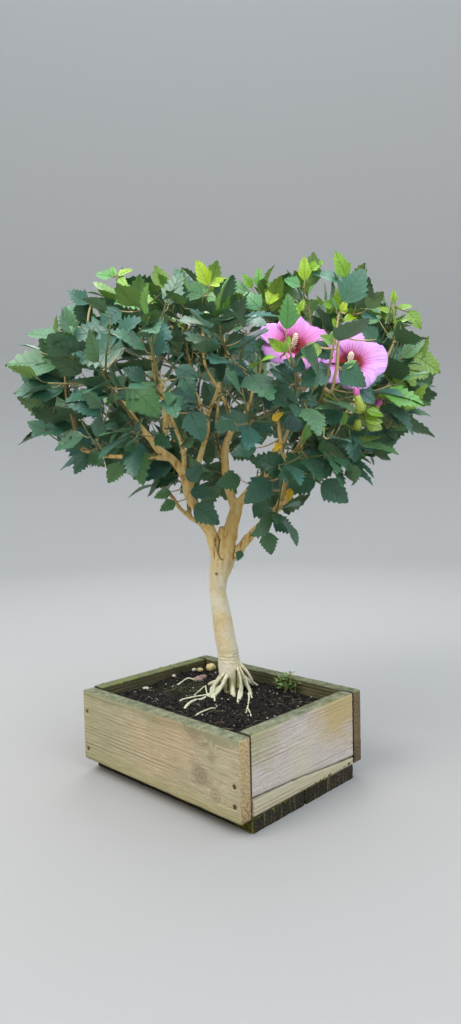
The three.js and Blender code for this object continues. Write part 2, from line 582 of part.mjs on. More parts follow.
// A point of a bloom from its radius, the turn round its face and the height along it
function onBloom({ centre, out, side, over }, radius, turn, height) {
  return centre.clone().addScaledVector(side, radius * Math.cos(turn))
    .addScaledVector(over, radius * Math.sin(turn)).addScaledVector(out, height);
}

// A ring of points round a bloom's axis
function ringOn(axes, sides, radius, height) {
  return Array.from({ length: sides }, (_, j) => onBloom(axes, radius, (2 * Math.PI * j) / sides, height));
}

// A waved sheet of even thickness, from a grid of points and the direction it is thick in
function sheet(grid, through) {
  const rows = grid.length;
  const cols = grid[0].length;
  const points = [...grid.flat(), ...grid.flat().map((p) => p.clone().sub(through))];
  const under = rows * cols;
  const faces = [];
  for (let i = 0; i + 1 < rows; i++) {
    for (let j = 0; j + 1 < cols; j++) {
      const a = i * cols + j;
      for (const [p, q, r] of [[a, a + 1, a + cols + 1], [a, a + cols + 1, a + cols]]) {
        faces.push([p, q, r], [p + under, r + under, q + under]);
      }
    }
  }
  const rim = [...Array.from({ length: cols }, (_, j) => j),
    ...Array.from({ length: rows - 1 }, (_, i) => (i + 2) * cols - 1),
    ...Array.from({ length: cols - 1 }, (_, j) => rows * cols - 2 - j),
    ...Array.from({ length: rows - 2 }, (_, i) => (rows - 2 - i) * cols)];
  rim.forEach((a, i) => {
    const b = rim[(i + 1) % rim.length];
    faces.push([b, a, a + under], [b, a + under, b + under]);
  });
  return closed(points, faces);
}

// Five petals that overlap like a pinwheel, fused to a small round hub
function corolla(bloom) {
  const axes = bloomAxes(bloom);
  const petal = (k) => {
    const middle = (2 * Math.PI * k) / PETAL.count;
    const grid = PETAL.rows.map(([s, half]) => PETAL.columns.map((c) => {
      const reach = PETAL.radius * s * (1 - PETAL.rounded * c * c * s);
      const wave = PETAL.wave * s * s * Math.sin(PETAL.waves * c + k);
      const tilt = PETAL.tilt * c * s ** PETAL.tiltRise;
      return onBloom(axes, reach, middle + half * c, PETAL.cup * Math.sin(PETAL.cupArc * s) + tilt + wave);
    }));
    return sheet(grid, axes.out.clone().multiplyScalar(PETAL.thick));
  };
  const hub = loft([HUB.low, HUB.high].map((height) => ringOn(axes, HUB.sides, HUB.radius, height)));
  return joined([hub, ...Array.from({ length: PETAL.count }, (_, k) => petal(k))]);
}

// The column of stamens that stands in the throat: a thin foot, and a head ringed by anthers
function column(bloom) {
  const axes = bloomAxes(bloom);
  return loft(COLUMN.profile.map(([radius, share]) =>
    ringOn(axes, COLUMN.sides, radius, HUB.high + FIT + share * COLUMN.length)));
}

// A short stalk that leaves the foot of a cup backwards and bends to its twig
function stalkTo(twig, foot, out, { radius, sides, inside, behind }) {
  const [start, bend] = [inside, -behind].map((height) => foot.clone().addScaledVector(out, height));
  const points = bow(start, bend, twig, TWIG.steps);
  return tube(points, points.map(() => radius), sides);
}

// The green cup behind a bloom with its pointed lobes, and the stalk to its twig
function calyx(bloom, twig) {
  const axes = bloomAxes(bloom);
  const top = HUB.low - FIT;
  const star = (inner, outer, height, drop) => Array.from({ length: 2 * PETAL.count }, (_, j) =>
    onBloom(axes, j % 2 ? inner : outer, (Math.PI * (j + 0.5)) / PETAL.count, height - (j % 2 ? drop : 0)));
  const foot = onBloom(axes, 0, 0, top - CALYX.depth);
  const cup = loft([star(CALYX.foot, CALYX.foot, top - CALYX.depth, 0),
    star(...CALYX.belly, top - CALYX.bellyAt * CALYX.depth, 0), star(...CALYX.rim, top, CALYX.lobe),
    star(CALYX.seat, CALYX.seat, top, 0)]);
  return cup.add(stalkTo(twig, foot, axes.out, BLOOM_STALK));
}

// A bud: its calyx on a short stalk, and the rolled petals that show at its tip
function bud({ foot, facing, length }, twig) {
  const axes = bloomAxes({ throat: foot, facing });
  const turned = (profile, low, height) =>
    loft(profile.map(([radius, share]) => ringOn(axes, BUD.sides, radius, low + share * height)));
  const calyxCup = turned(BUD.calyx, 0, length);
  return {
    green: calyxCup.add(stalkTo(twig, place(foot), axes.out, BUD_STALK)),
    rolled: turned(BUD.petals.profile, length + FIT, BUD.petals.length),
  };
}

// A stone sunk in the soil; grow makes its hollow
function stone({ at: [across, away], radius, turn }, grow) {
  const lump = new THREE.IcosahedronGeometry(radius + grow, 0);
  const centre = place([across, away, 0]);
  lump.scale(...STONE.scale);
  lump.rotateZ(turn);
  lump.translate(centre.x, centre.y, soilHeight(centre.x, centre.y) + STONE.proud * radius);
  return solidOf(lump);
}

// The seedling's stem, which stands in the soil; grow makes its hole
function weedStem(grow) {
  const centre = place([...WEED.at, 0]);
  const ground = soilHeight(centre.x, centre.y);
  const points = [-WEED.depth, 0, WEED.height].map((height) => centre.clone().setZ(ground + height));
  return { points, stem: tube(points, WEED.stem.map((radius) => radius + grow), WEED.sides) };
}

// The seedling: short blades that rise from one stem
function weed() {
  const { points, stem } = weedStem(0);
  const blades = Array.from({ length: WEED.leaves }, (_, i) => {
    const turn = WEED.turn * i;
    const along = new THREE.Vector3(Math.cos(turn), Math.sin(turn), WEED.rise).normalize();
    const root = points.at(-1).clone().addScaledVector(UP, -WEED.apart * (i + WEED.rise));
    const across = along.clone().cross(UP).normalize();
    const normal = across.clone().cross(along);
    const neck = root.clone().addScaledVector(along, WEED.stalk);
    return leafSolid({ root, neck, across, along, normal, length: WEED.leaf }, 0);
  });
  return joined([stem, ...blades]);
}

// Assembly
const COLOURS = {
  board: 0xa69a78, floor: 0x4a4032, nail: 0x6b5a4a, soil: 0x35291f, wood: 0xc9b48a, leaf: 0x466b3a,
  petal: 0xd98bc8, stamen: 0xf2e6c8, bud: 0xd06aa8, stone: 0xd8d2c4, weed: 0x5f8f3a,
};
const bonsai = new THREE.Group();
function include(name, solid, colour, roughness) {
  bonsai.add(meshOf(name, solid, COLOURS[colour], roughness));
}

const boards = {
  ...floorBoards(),
  ...shortBoards(),
  front_board: longBoard(-1, FRONT_FOOT),
  back_board: longBoard(1, BACK_FOOT),
};
const nails = nailPlaces();
for (const [name, board] of Object.entries(boards)) {
  const drilled = nails.reduce((left, each) => left.subtract(nail(each, FIT)), board);
  include(name, drilled, name.startsWith("floor") ? "floor" : "board");
}
for (const each of nails) include(each.name, nail(each, 0), "nail", 0.6);

const tree = crownWood(0).add(rootWood(0));
const limbCut = crownWood(LIMB_FIT);
include("tree_wood", tree, "wood");

const placed = new Placed();
placed.add(limbCut, "wood");
const flowers = Object.entries(BLOOMS).map(([name, bloom]) => ({
  name, bloom, petals: corolla(bloom), stamens: column(bloom),
}));
for (const { petals, stamens } of flowers) {
  placed.add(petals);
  placed.add(stamens);
}

// Green stalks, cups and buds that grow as one with a spray
const growths = Object.fromEntries(Object.keys(SPRAYS).map((name) => [name, []]));
const sprays = Object.entries(SPRAYS).map(([name, spec], i) => sprayOf(name, spec, i + 1));
const onSpray = (name, share) => onTwig(sprays.find((spray) => spray.name === name).twigs[0], share).point;
for (const { bloom } of flowers) growths[bloom.on].push(calyx(bloom, onSpray(bloom.on, BLOOM_STALK.share)));
const rolledPetals = {};
for (const [name, spec] of Object.entries(BUDS)) {
  const { green, rolled } = bud(spec, onSpray(spec.on, spec.share));
  growths[spec.on].push(green);
  if (spec.petals) rolledPetals[name] = rolled;
}
for (const rolled of Object.values(rolledPetals)) placed.add(rolled);
for (const spray of sprays) {
  for (const solid of growths[spray.name]) placed.add(solid, spray.name);
}

// Twigs first, then leaves one by one, each where it meets nothing
for (const spray of sprays) {
  for (const twig of spray.twigs) placed.add(twigSolid(twig, FIT), spray.name);
}
const most = Math.max(...sprays.map(({ leaves }) => leaves));
const grown = Object.fromEntries(sprays.map(({ name }) => [name, []]));
for (let index = 0; index < most; index++) {
  for (const spray of sprays.filter(({ leaves }) => index < leaves)) {
    for (let attempt = 0; attempt < GROWTH.tries; attempt++) {
      const pose = leafPose(spray, index, attempt);
      const guard = leafSolid(pose, FIT);
      const crowded = grown[spray.name].some((leaf) => !leaf.intersect(guard).isEmpty());
      if (crowded || placed.meets(guard, spray.name)) continue;
      placed.add(guard, spray.name);
      grown[spray.name].push(leafSolid(pose, 0));
      break;
    }
  }
}
for (const spray of sprays) {
  const twigs = spray.twigs.map((twig) => twigSolid(twig, 0));
  const whole = joined([...twigs, ...growths[spray.name], ...grown[spray.name]]);
  include("spray_" + spray.name, largest(whole.subtract(limbCut)), "leaf");
}
for (const { name, petals, stamens } of flowers) {
  include("corolla_" + name, petals, "petal", 0.6);
  include("stamens_" + name, stamens, "stamen");
}
for (const [name, rolled] of Object.entries(rolledPetals)) include("bud_petals_" + name, rolled, "bud", 0.6);

// Soil last, with a plain hole for what stands in it
const holes = [rootWood(FIT), weedStem(FIT).stem, ...Object.values(STONES).map((spec) => stone(spec, FIT))];
include("soil", largest(holes.reduce((left, hole) => left.subtract(hole), soilSolid())), "soil", 1);
for (const [name, spec] of Object.entries(STONES)) include(name, stone(spec, 0), "stone");
include("weed", weed(), "weed");

export default bonsai;
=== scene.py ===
# %% [markdown]
# # A hibiscus bonsai in a box of weathered boards
# The planter, the soil, the trunk and every spray of leaves come from the packed CAD model, which stays the
# fixed frame. This lesson dresses it: each step takes one piece or finish of the real tree, says what it
# is, and builds it where the frame says it stands.

# %% Load the frame
import json
import math

import bmesh
import bpy
from mathutils import Matrix, Vector, noise
from mathutils.bvhtree import BVHTree
from mathutils.kdtree import KDTree

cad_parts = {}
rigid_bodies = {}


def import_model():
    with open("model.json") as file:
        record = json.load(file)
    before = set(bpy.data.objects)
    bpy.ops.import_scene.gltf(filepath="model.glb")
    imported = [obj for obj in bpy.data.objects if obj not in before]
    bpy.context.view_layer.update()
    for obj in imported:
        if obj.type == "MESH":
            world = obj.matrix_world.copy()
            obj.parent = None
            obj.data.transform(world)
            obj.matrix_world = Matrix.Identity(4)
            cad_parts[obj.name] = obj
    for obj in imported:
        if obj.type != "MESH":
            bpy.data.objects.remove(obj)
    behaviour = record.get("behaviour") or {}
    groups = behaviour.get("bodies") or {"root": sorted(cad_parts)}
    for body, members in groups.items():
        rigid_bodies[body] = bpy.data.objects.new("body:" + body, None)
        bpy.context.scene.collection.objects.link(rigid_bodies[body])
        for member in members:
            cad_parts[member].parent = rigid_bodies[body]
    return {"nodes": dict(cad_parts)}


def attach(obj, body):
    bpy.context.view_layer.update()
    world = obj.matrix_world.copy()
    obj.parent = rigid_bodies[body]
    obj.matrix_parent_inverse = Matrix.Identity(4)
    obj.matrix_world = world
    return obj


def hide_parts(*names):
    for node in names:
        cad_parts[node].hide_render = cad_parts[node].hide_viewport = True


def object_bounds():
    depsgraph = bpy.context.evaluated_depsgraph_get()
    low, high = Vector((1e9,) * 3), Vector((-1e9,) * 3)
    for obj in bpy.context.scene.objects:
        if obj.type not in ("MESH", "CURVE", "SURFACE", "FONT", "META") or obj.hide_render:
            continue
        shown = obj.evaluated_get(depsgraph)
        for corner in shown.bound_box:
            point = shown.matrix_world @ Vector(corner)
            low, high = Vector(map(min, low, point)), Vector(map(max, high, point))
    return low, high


for leftover in list(bpy.data.objects):
    bpy.data.objects.remove(leftover)
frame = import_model()
cad_box = [list(corner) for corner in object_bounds()]
NODES = frame["nodes"]
MM = 0.001
print("frame:", len(NODES), "nodes, box", cad_box)

# %% [markdown]
# ## The camera
# The box's edges in the photograph give its vanishing points, and from them the place, the turn and the
# lens of the camera. A matrix whose columns are right, up and backwards turns the camera exactly, roll
# included.

# %% Camera
CAMERA_AT = Vector((0.7004, -0.6989, 0.4175))
YAW, PITCH, ROLL = (math.radians(angle) for angle in (-43.81, -2.94, -1.33))
LENS = 25.13

ahead = Vector((math.sin(YAW) * math.cos(PITCH), math.cos(YAW) * math.cos(PITCH), math.sin(PITCH)))
level = Vector((math.cos(YAW), -math.sin(YAW), 0))
upright = level.cross(ahead)
right = level * math.cos(ROLL) + upright * math.sin(ROLL)
top = upright * math.cos(ROLL) - level * math.sin(ROLL)

camera = bpy.data.objects.new("camera", bpy.data.cameras.new("camera"))
camera.data.lens = LENS
camera.data.clip_start = 0.02
camera.matrix_world = Matrix.Translation(CAMERA_AT) @ Matrix((right, top, -ahead)).transposed().to_4x4()
bpy.context.scene.collection.objects.link(camera)
bpy.context.scene.camera = camera
print("camera at", tuple(CAMERA_AT), "lens", LENS)

# %% [markdown]
# ## Materials as sums
# A finish is easier to read as a sum than as a web of nodes. A Wire holds one socket, and arithmetic on it
# adds the Math nodes. A Finish is one material: its node method makes any other node from a type, its
# settings and what goes into its sockets.


# %% Wire
class Wire:
    """A socket of a finish. Sums, differences, products and powers of it add Math nodes."""

    def __init__(self, finish, socket):
        self.finish, self.socket = finish, socket

    def math(self, operation, *values):
        return self.finish.node("ShaderNodeMath", {"operation": operation}, values)

    def __add__(self, other):
        return self.math("ADD", self, other)

    def __sub__(self, other):
        return self.math("SUBTRACT", self, other)

    def __rsub__(self, other):
        return self.math("SUBTRACT", other, self)

    def __mul__(self, other):
        return self.math("MULTIPLY", self, other)

    def __pow__(self, other):
        return self.math("POWER", self, other)

    def __abs__(self):
        return self.math("ABSOLUTE", self)

    __radd__, __rmul__ = __add__, __mul__

    def sine(self):
        return self.math("SINE", self)

    def fraction(self):
        return self.math("FRACT", self)

    def most(self, other):
        return self.math("MAXIMUM", self, other)

    def rise(self, low, high):
        """0 below low, 1 above high and smooth between; high may be the lower one."""
        inputs = {"Value": self, "From Min": low, "From Max": high}
        return self.finish.node("ShaderNodeMapRange", {"interpolation_type": "SMOOTHSTEP"}, inputs)


print("a Wire can:", [name for name in vars(Wire) if not name.startswith("__")])


# %% Finish
class Finish:
    """One material. Constants go straight onto the shader's sockets, wires only into three that may vary."""

    def __init__(self, name, **constants):
        self.material = bpy.data.materials.new(name)
        self.material.use_nodes = True
        self.tree = self.material.node_tree
        self.shader = self.tree.nodes["Principled BSDF"]
        for socket, value in constants.items():
            self.shader.inputs[socket.replace("_", " ")].default_value = value

    def put(self, socket, value):
        if isinstance(value, Wire):
            self.tree.links.new(value.socket, socket)
        else:
            socket.default_value = value

    def node(self, kind, settings=None, inputs=(), output=0):
        made = self.tree.nodes.new(kind)
        settings = dict(settings or {})
        for position, colour in settings.pop("stops", ()):
            spare = made.color_ramp.elements
            stop = spare[0] if position == 0 else spare[-1] if position == 1 else spare.new(position)
            stop.color = colour
        for name, value in settings.items():
            setattr(made, name, value)
        for key, value in inputs.items() if isinstance(inputs, dict) else enumerate(inputs):
            self.put(made.inputs[key], value)
        return Wire(self, made.outputs[output])

    def object_point(self):
        return self.node("ShaderNodeTexCoord", output="Object")

    def split(self, vector):
        made = self.node("ShaderNodeSeparateXYZ", None, [vector])
        return [Wire(self, socket) for socket in made.socket.node.outputs]

    def facing(self):
        """The parts of the surface normal along X, Y and Z."""
        return self.split(self.node("ShaderNodeTexCoord", output="Normal"))

    def stretched(self, vector, scale):
        return self.node("ShaderNodeMapping", None, {"Vector": vector, "Scale": scale})

    def gap_to(self, vector, spot):
        """How far a place is from a fixed spot."""
        return self.node("ShaderNodeVectorMath", {"operation": "DISTANCE"}, [vector, tuple(spot)], "Value")

    def speckle(self, vector, scale, detail=4.0, rough=0.6):
        return self.node("ShaderNodeTexNoise", None,
                         {"Vector": vector, "Scale": scale, "Detail": detail, "Roughness": rough})

    def mix(self, a, b, factor):
        """Colour a where the factor is 0 and b where it is 1."""
        return self.node("ShaderNodeMix", {"data_type": "RGBA"}, {0: factor, 6: a, 7: b}, 2)

    def coats(self, colour, *layers):
        """A colour with tints laid over it in turn, each with its factor."""
        for tint, factor in layers:
            colour = self.mix(colour, tint, factor)
        return colour

    def ramp(self, factor, *stops):
        """A run of colours along a value; each stop is a position and a tone."""
        return self.node("ShaderNodeValToRGB", {"stops": stops}, [factor])

    def attribute(self, name):
        return self.split(self.node("ShaderNodeAttribute", {"attribute_name": name}, output="Vector"))

    def uv(self, name):
        return self.split(self.node("ShaderNodeUVMap", {"uv_map": name}))

    def finish(self, colour, roughness=None, height=None, depth=0.001):
        """Joins the colour, the roughness and a height in metres to the shader."""
        self.put(self.shader.inputs["Base Color"], colour)
        if roughness is not None:
            self.put(self.shader.inputs["Roughness"], roughness)
        if height is not None:
            bump = self.node("ShaderNodeBump", None, {"Strength": 1.0, "Distance": depth, "Height": height})
            self.put(self.shader.inputs["Normal"], bump)
        return self.material


def tone(red, green, blue):
    """A colour given as on a screen, from 0 to 255, in the linear values that a shader reads."""
    shares = (red / 255, green / 255, blue / 255)
    return (*(c / 12.92 if c <= 0.04045 else ((c + 0.055) / 1.055) ** 2.4 for c in shares), 1.0)


def grained(name, grain, *stops, relief=0.0, **constants):
    """A plain finish whose colour follows one noise, given by its scale, detail and roughness. A relief in
    metres lets the same noise roughen the surface."""
    made = Finish(name, **constants)
    spots = made.speckle(made.object_point(), *grain)
    return made.finish(made.ramp(spots, *stops), height=spots if relief else None, depth=relief)


print("middle grey in linear values:", round(tone(128, 128, 128)[0], 3))

# %% [markdown]
# ## Floor and light
# Open shade lights a tree softly from all sides. So the stage is a plain pale floor that curves up into a
# plain round screen, open at the top to a soft sky, with a large lamp high on the left, a weaker cool one
# on the right and a third behind. It looks the same from every side.

# %% Floor and light
STAGE_COLOUR = (0.345, 0.335, 0.325, 1)
STAGE_FLOOR, STAGE_CURVE, STAGE_SCREEN = 2.4, 1.2, 3.0
CURVE_STEPS = 12
SKY_COLOUR = (0.80, 0.90, 1.0, 1)
SKY_STRENGTH = 2.7
LAMPS = {  # place, width, power, colour
    "key": ((-0.35, -1.9, 2.2), 1.3, 54, (1.0, 0.95, 0.86)),
    "fill": ((1.9, -0.3, 1.5), 1.4, 25, (0.88, 0.94, 1.0)),
    "back": ((-1.3, 1.4, 2.2), 1.2, 22, (1.0, 0.96, 0.9)),
}
MIDDLE = Vector((0, 0, 0.35))


def stage_piece():
    """The floor and the screen, as one profile spun round."""
    bm = bmesh.new()
    rise = [0.5 * math.pi * (step + 1) / CURVE_STEPS for step in range(CURVE_STEPS)]
    profile = [(0, 0), (STAGE_FLOOR, 0)]
    profile += [(STAGE_FLOOR + STAGE_CURVE * math.sin(a), STAGE_CURVE * (1 - math.cos(a))) for a in rise]
    profile += [(STAGE_FLOOR + STAGE_CURVE, STAGE_CURVE + STAGE_SCREEN)]
    line = [bm.verts.new((radius, 0, height)) for radius, height in profile]
    edges = [bm.edges.new(pair) for pair in zip(line, line[1:])]
    bmesh.ops.spin(bm, geom=line + edges, cent=(0, 0, 0), axis=(0, 0, 1), angle=2 * math.pi, steps=96,
                   use_merge=True)
    bmesh.ops.remove_doubles(bm, verts=bm.verts, dist=1e-4)
    bmesh.ops.recalc_face_normals(bm, faces=bm.faces)
    mesh = bpy.data.meshes.new("floor")
    bm.to_mesh(mesh)
    bm.free()
    mesh.shade_smooth()
    floor = Finish("floor", Base_Color=STAGE_COLOUR, Roughness=0.9, Specular_IOR_Level=0.1)
    mesh.materials.append(floor.material)
    piece = bpy.data.objects.new("floor", mesh)
    bpy.context.scene.collection.objects.link(piece)


def lamp(name, spot, width, power, colour):
    """A square lamp that looks at the middle of the tree."""
    light = bpy.data.lights.new(name, "AREA")
    light.size, light.energy, light.color = width, power, colour
    piece = bpy.data.objects.new(name, light)
    piece.location = spot
    piece.rotation_euler = (MIDDLE - Vector(spot)).to_track_quat("-Z", "Y").to_euler()
    bpy.context.scene.collection.objects.link(piece)


stage_piece()
for name, settings in LAMPS.items():
    lamp(name, *settings)
sky = bpy.data.worlds.new("sky")
sky.use_nodes = True
sky.node_tree.nodes["Background"].inputs["Color"].default_value = SKY_COLOUR
sky.node_tree.nodes["Background"].inputs["Strength"].default_value = SKY_STRENGTH
bpy.context.scene.world = sky
bpy.context.scene.view_settings.view_transform = "Standard"
print("lamps:", list(LAMPS))

# %% [markdown]
# ## Weathered wood
# The boards are rough-sawn softwood left outdoors for years. Its grain is a set of lines along the board
# that swing round each knot, light between and dark in the late wood. Rain greys it, and algae turns the
# damp top and bottom edges green. The same recipe makes every board, from its own tones, grain axis, bands
# and knots.


# %% Board finish
GRAIN_LINES = 1250.0
JOINT_Y, JOINT_X, JOINT_WIDTH = 0.104, 0.132, 0.0022


def knot_field(wood, point, knots):
    """How near the surface is to each knot, summed, and the rings inside them."""
    swell, rings = 0.0, None
    for spot, radius, tilt, squeeze in knots:
        offset = wood.node("ShaderNodeVectorMath", {"operation": "SUBTRACT"}, [point, spot])
        turned = wood.node("ShaderNodeMapping", None, {"Vector": offset, "Rotation": (0, tilt, 0)})
        shape = wood.node("ShaderNodeVectorMath", {"operation": "MULTIPLY"}, [turned, (squeeze, 1, 1)])
        gap = wood.node("ShaderNodeVectorMath", {"operation": "LENGTH"}, [shape], "Value")
        near = gap.rise(3.2 * radius, 0.3 * radius)
        swell = near + swell
        core = gap.rise(1.3 * radius, 0.95 * radius) * ((gap * (9.4 / radius) + 4.71).sine() * 0.3 + 0.5)
        rings = core if rings is None else rings.most(core)
    return swell, rings


def board_finish(name, axis, tones, bands, knots=(), patches=(), damp=1.0, mossy=0.15, streaky=0.0):
    """tones are dark, middle, pale, grey and end grain; bands are (height, softness, colour, amount) of
    tinted stripes, and patches (place, radius, colour, amount) of tinted areas. damp, mossy and streaky say
    how much algae and moss lies on its top and how much rain has striped its ends."""
    wood = Finish(name, Roughness=0.85, Specular_IOR_Level=0.3)
    dark, middle, pale, grey, ends = tones
    point = wood.object_point()
    x, y, z = wood.split(point)
    across = y if axis == 0 else x

    def along_grain(finer, detail, rough=0.6):
        """A noise that is long along the board; finer narrows it."""
        scale = [42.0 * finer, 42.0 * finer, 42.0 * finer]
        scale[axis] = 3.0 * finer
        return wood.speckle(wood.stretched(point, scale), 1.0, detail, rough)

    drift, slow = along_grain(1.0, 3.0), along_grain(0.3, 2.0)
    swell, rings = knot_field(wood, point, knots) if knots else (0.0, None)
    phase = (z + across * 0.4) * GRAIN_LINES + drift * 5.0 + slow * 13.0 + swell * 16.0
    wide = along_grain(1.6, 2.0).rise(0.35, 0.65)
    line = (phase.sine() * 0.5 + 0.5) * wide + (1.0 - wide) * 0.6
    fibres = along_grain(12.0, 5.0, 0.7)
    sawn = wood.speckle(point, 650.0, 3.0, 0.7)
    grain = line * 0.22 + fibres * 0.85 + sawn * 0.6 - 0.34
    colour = wood.ramp(grain, (0, dark), (0.42, middle), (0.66, pale), (1, pale))
    weather = wood.speckle(point, 16.0, 5.0, 0.6)
    colour = wood.mix(colour, grey, weather.rise(0.42, 0.64) * 0.5)
    waver = z + (slow - 0.5) * 0.03 + (weather - 0.5) * 0.03 + (fibres - 0.5) * 0.01
    ragged = (weather - 0.5) * 0.12 + (fibres - 0.5) * 0.03
    for height, soft, tint, amount in bands:
        colour = wood.mix(colour, tint, abs(waver - height).rise(soft, 0.2 * soft) * amount)
    for spot, radius, tint, amount in patches:
        gap = wood.gap_to(point, spot) + ragged
        colour = wood.mix(colour, tint, gap.rise(radius, 0.1 * radius) * amount)
    colour = wood.mix(colour, dark, line.rise(0.4, 0.0) * fibres * (z.rise(0.08, 0.03) * 0.55 + 0.35))
    if rings is not None:
        colour = wood.mix(colour, wood.mix(dark, middle, 0.2), rings * (sawn * 0.7 + fibres * 0.4))
    nx, ny, nz = wood.facing()
    butt = abs(nx if axis == 0 else ny).rise(0.6, 0.85)
    pores = wood.speckle(point, 380.0, 4.0, 0.75)
    end_tone = wood.mix(wood.mix(dark, ends, 0.3), ends, pores.rise(0.3, 0.62))
    end_tone = wood.mix(end_tone, grey, weather.rise(0.45, 0.7) * 0.6)
    streaks = wood.speckle(wood.stretched(point, (30.0, 330.0, 22.0)), 1.0, 4.0, 0.7).rise(0.52, 0.68)
    end_tone = wood.mix(end_tone, tone(142, 128, 84), streaks * streaky)
    end_tone = wood.mix(end_tone, dark, z.rise(0.062, 0.022) * pores.rise(0.62, 0.42) * 0.6)
    colour = wood.mix(colour, end_tone, butt)
    growth = wood.speckle(point, 75.0, 6.0, 0.7)
    upper = nz.rise(0.35, 0.8)
    algae = wood.ramp(growth, (0, tone(44, 48, 32)), (0.4, tone(86, 92, 66)), (0.52, tone(118, 122, 100)),
                      (0.64, tone(150, 150, 130)), (1, tone(104, 122, 66)))
    algae = wood.mix(algae, tone(104, 114, 40), growth.rise(0.44, 0.58) * mossy)
    colour = wood.mix(colour, algae, upper * damp * 0.92)
    joint = abs(abs(y) - JOINT_Y).rise(JOINT_WIDTH, 0.0008) * abs(x).rise(JOINT_X, JOINT_X + 0.002)
    colour = wood.mix(colour, tone(26, 22, 16), joint * 0.9)
    height = line * 0.25 + fibres * 1.0 + sawn * 0.6 + growth * 0.3
    return wood.finish(colour, 0.8 + fibres * 0.2, height, depth=0.0012)


print("grain lines a centimetre:", round(GRAIN_LINES / 100 / (2 * math.pi), 1))

# %% Tones and marks of each board
TAN = (tone(96, 78, 54), tone(166, 150, 120), tone(194, 182, 152), tone(152, 148, 118), tone(206, 178, 132))
PALE = (tone(120, 104, 96), tone(186, 172, 162), tone(212, 202, 194), tone(192, 182, 178),
        tone(196, 160, 116))
# The back and left boards' dark tones are partly damp, mossy wood and partly painted shade, for the dark
# inside of the box above the soil.
DAMP_AND_SHADED = (tone(34, 31, 20), tone(78, 72, 50), tone(110, 104, 76), tone(66, 72, 48), tone(132, 112, 84))
# Painted shade: the floor boards under the box get very dark tones for the shadow the box casts on them.
BASE_IN_SHADE = (tone(14, 12, 9), tone(44, 36, 26), tone(92, 78, 52), tone(52, 52, 40), tone(62, 54, 38))
OLIVE, SUN, MOSS, ALGAE = tone(152, 148, 98), tone(186, 162, 92), tone(50, 56, 24), tone(128, 130, 100)
KNOTS = [  # place on the front board, radius, tilt, and the share of its length left by squeezing
    ((0.0885, -0.123, 0.059), 0.0095, 0, 1),
    ((0.113, -0.123, 0.0415), 0.0078, 0, 1),
    ((0.107, -0.123, 0.086), 0.0055, 0, 1),
    ((0.078, -0.123, 0.1075), 0.0062, -0.52, 0.3),
]
CORNER_MOSS = [((0.15, -0.105, 0.008), 0.032, tone(152, 138, 44), 0.85)]
FRONT_BANDS = [(0.119, 0.014, ALGAE, 0.7), (0.02, 0.024, OLIVE, 0.5)]
FRONT_PATCHES = [((-0.14, -0.123, 0.05), 0.14, tone(150, 150, 112), 0.5),
                 ((0.03, -0.123, 0.09), 0.10, tone(190, 156, 120), 0.3),
                 ((0.0885, -0.123, 0.059), 0.026, tone(132, 122, 106), 0.5)]
RIGHT_PATCHES = [((0.153, 0.07, 0.108), 0.07, SUN, 0.75),
                 ((0.153, -0.095, 0.115), 0.06, tone(158, 154, 96), 0.6),
                 ((0.153, 0.0, 0.038), 0.07, tone(206, 198, 164), 0.4)]
FOOT_BAND, EDGE_BAND = [(0.02, 0.03, MOSS, 0.8)], [(0.017, 0.006, MOSS, 0.8)]
RIGHT_BAND, STRIP_BAND = [(0.119, 0.01, ALGAE, 0.7)], [(0.03, 0.03, tone(190, 180, 128), 0.55)]
WET_ENDS = {"damp": 0.5, "streaky": 0.8}
finishes = {
    "front_board": board_finish("weathered_front_board", 0, TAN, FRONT_BANDS, KNOTS, FRONT_PATCHES),
    "back_board": board_finish("weathered_back_board", 0, DAMP_AND_SHADED, FOOT_BAND, mossy=0.35),
    "left_board": board_finish("weathered_left_board", 1, DAMP_AND_SHADED, FOOT_BAND, mossy=0.9),
    "right_board": board_finish("weathered_right_board", 1, PALE, RIGHT_BAND, (), RIGHT_PATCHES),
    "right_board_strip": board_finish("weathered_strip", 1, PALE, STRIP_BAND),
    "floor_board_front": board_finish("shaded_floor_board_front", 0, BASE_IN_SHADE, EDGE_BAND, (), CORNER_MOSS,
                                      **WET_ENDS),
    "floor_board_back": board_finish("shaded_floor_board_back", 0, BASE_IN_SHADE, EDGE_BAND, **WET_ENDS),
}
print("board finishes:", len(finishes))

# %% [markdown]
# ## Pieces from the frame's own solids
# A board that has weathered is still the same board. So its piece starts as a copy of the CAD solid, nail
# holes and crack included. A voxel remesh gives it an even skin and wears its edges round, and a noise that
# is long along the grain raises the late wood. The copy is merged first, because the frame's meshes are
# loose triangles.


# %% Pieces, copies and skins
DOUBLES = 1e-6


def piece_of(name, bm, material, replaces=(), smooth=True):
    """A piece from a bmesh, riding on the one body, with the nodes it stands for hidden."""
    mesh = bpy.data.meshes.new(name)
    bm.to_mesh(mesh)
    bm.free()
    mesh.materials.append(material)
    if smooth:
        mesh.shade_smooth()
    piece = bpy.data.objects.new(name, mesh)
    bpy.context.scene.collection.objects.link(piece)
    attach(piece, "root")
    if replaces:
        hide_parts(*replaces)
    triangles = sum(len(polygon.vertices) - 2 for polygon in mesh.polygons)
    print(f"{name}: {triangles} triangles")
    return piece


def merged_copy(node):
    """A CAD node's solid with its loose triangles joined, as a new bmesh."""
    bm = bmesh.new()
    bm.from_mesh(NODES[node].data)
    bmesh.ops.remove_doubles(bm, verts=bm.verts, dist=DOUBLES)
    return bm


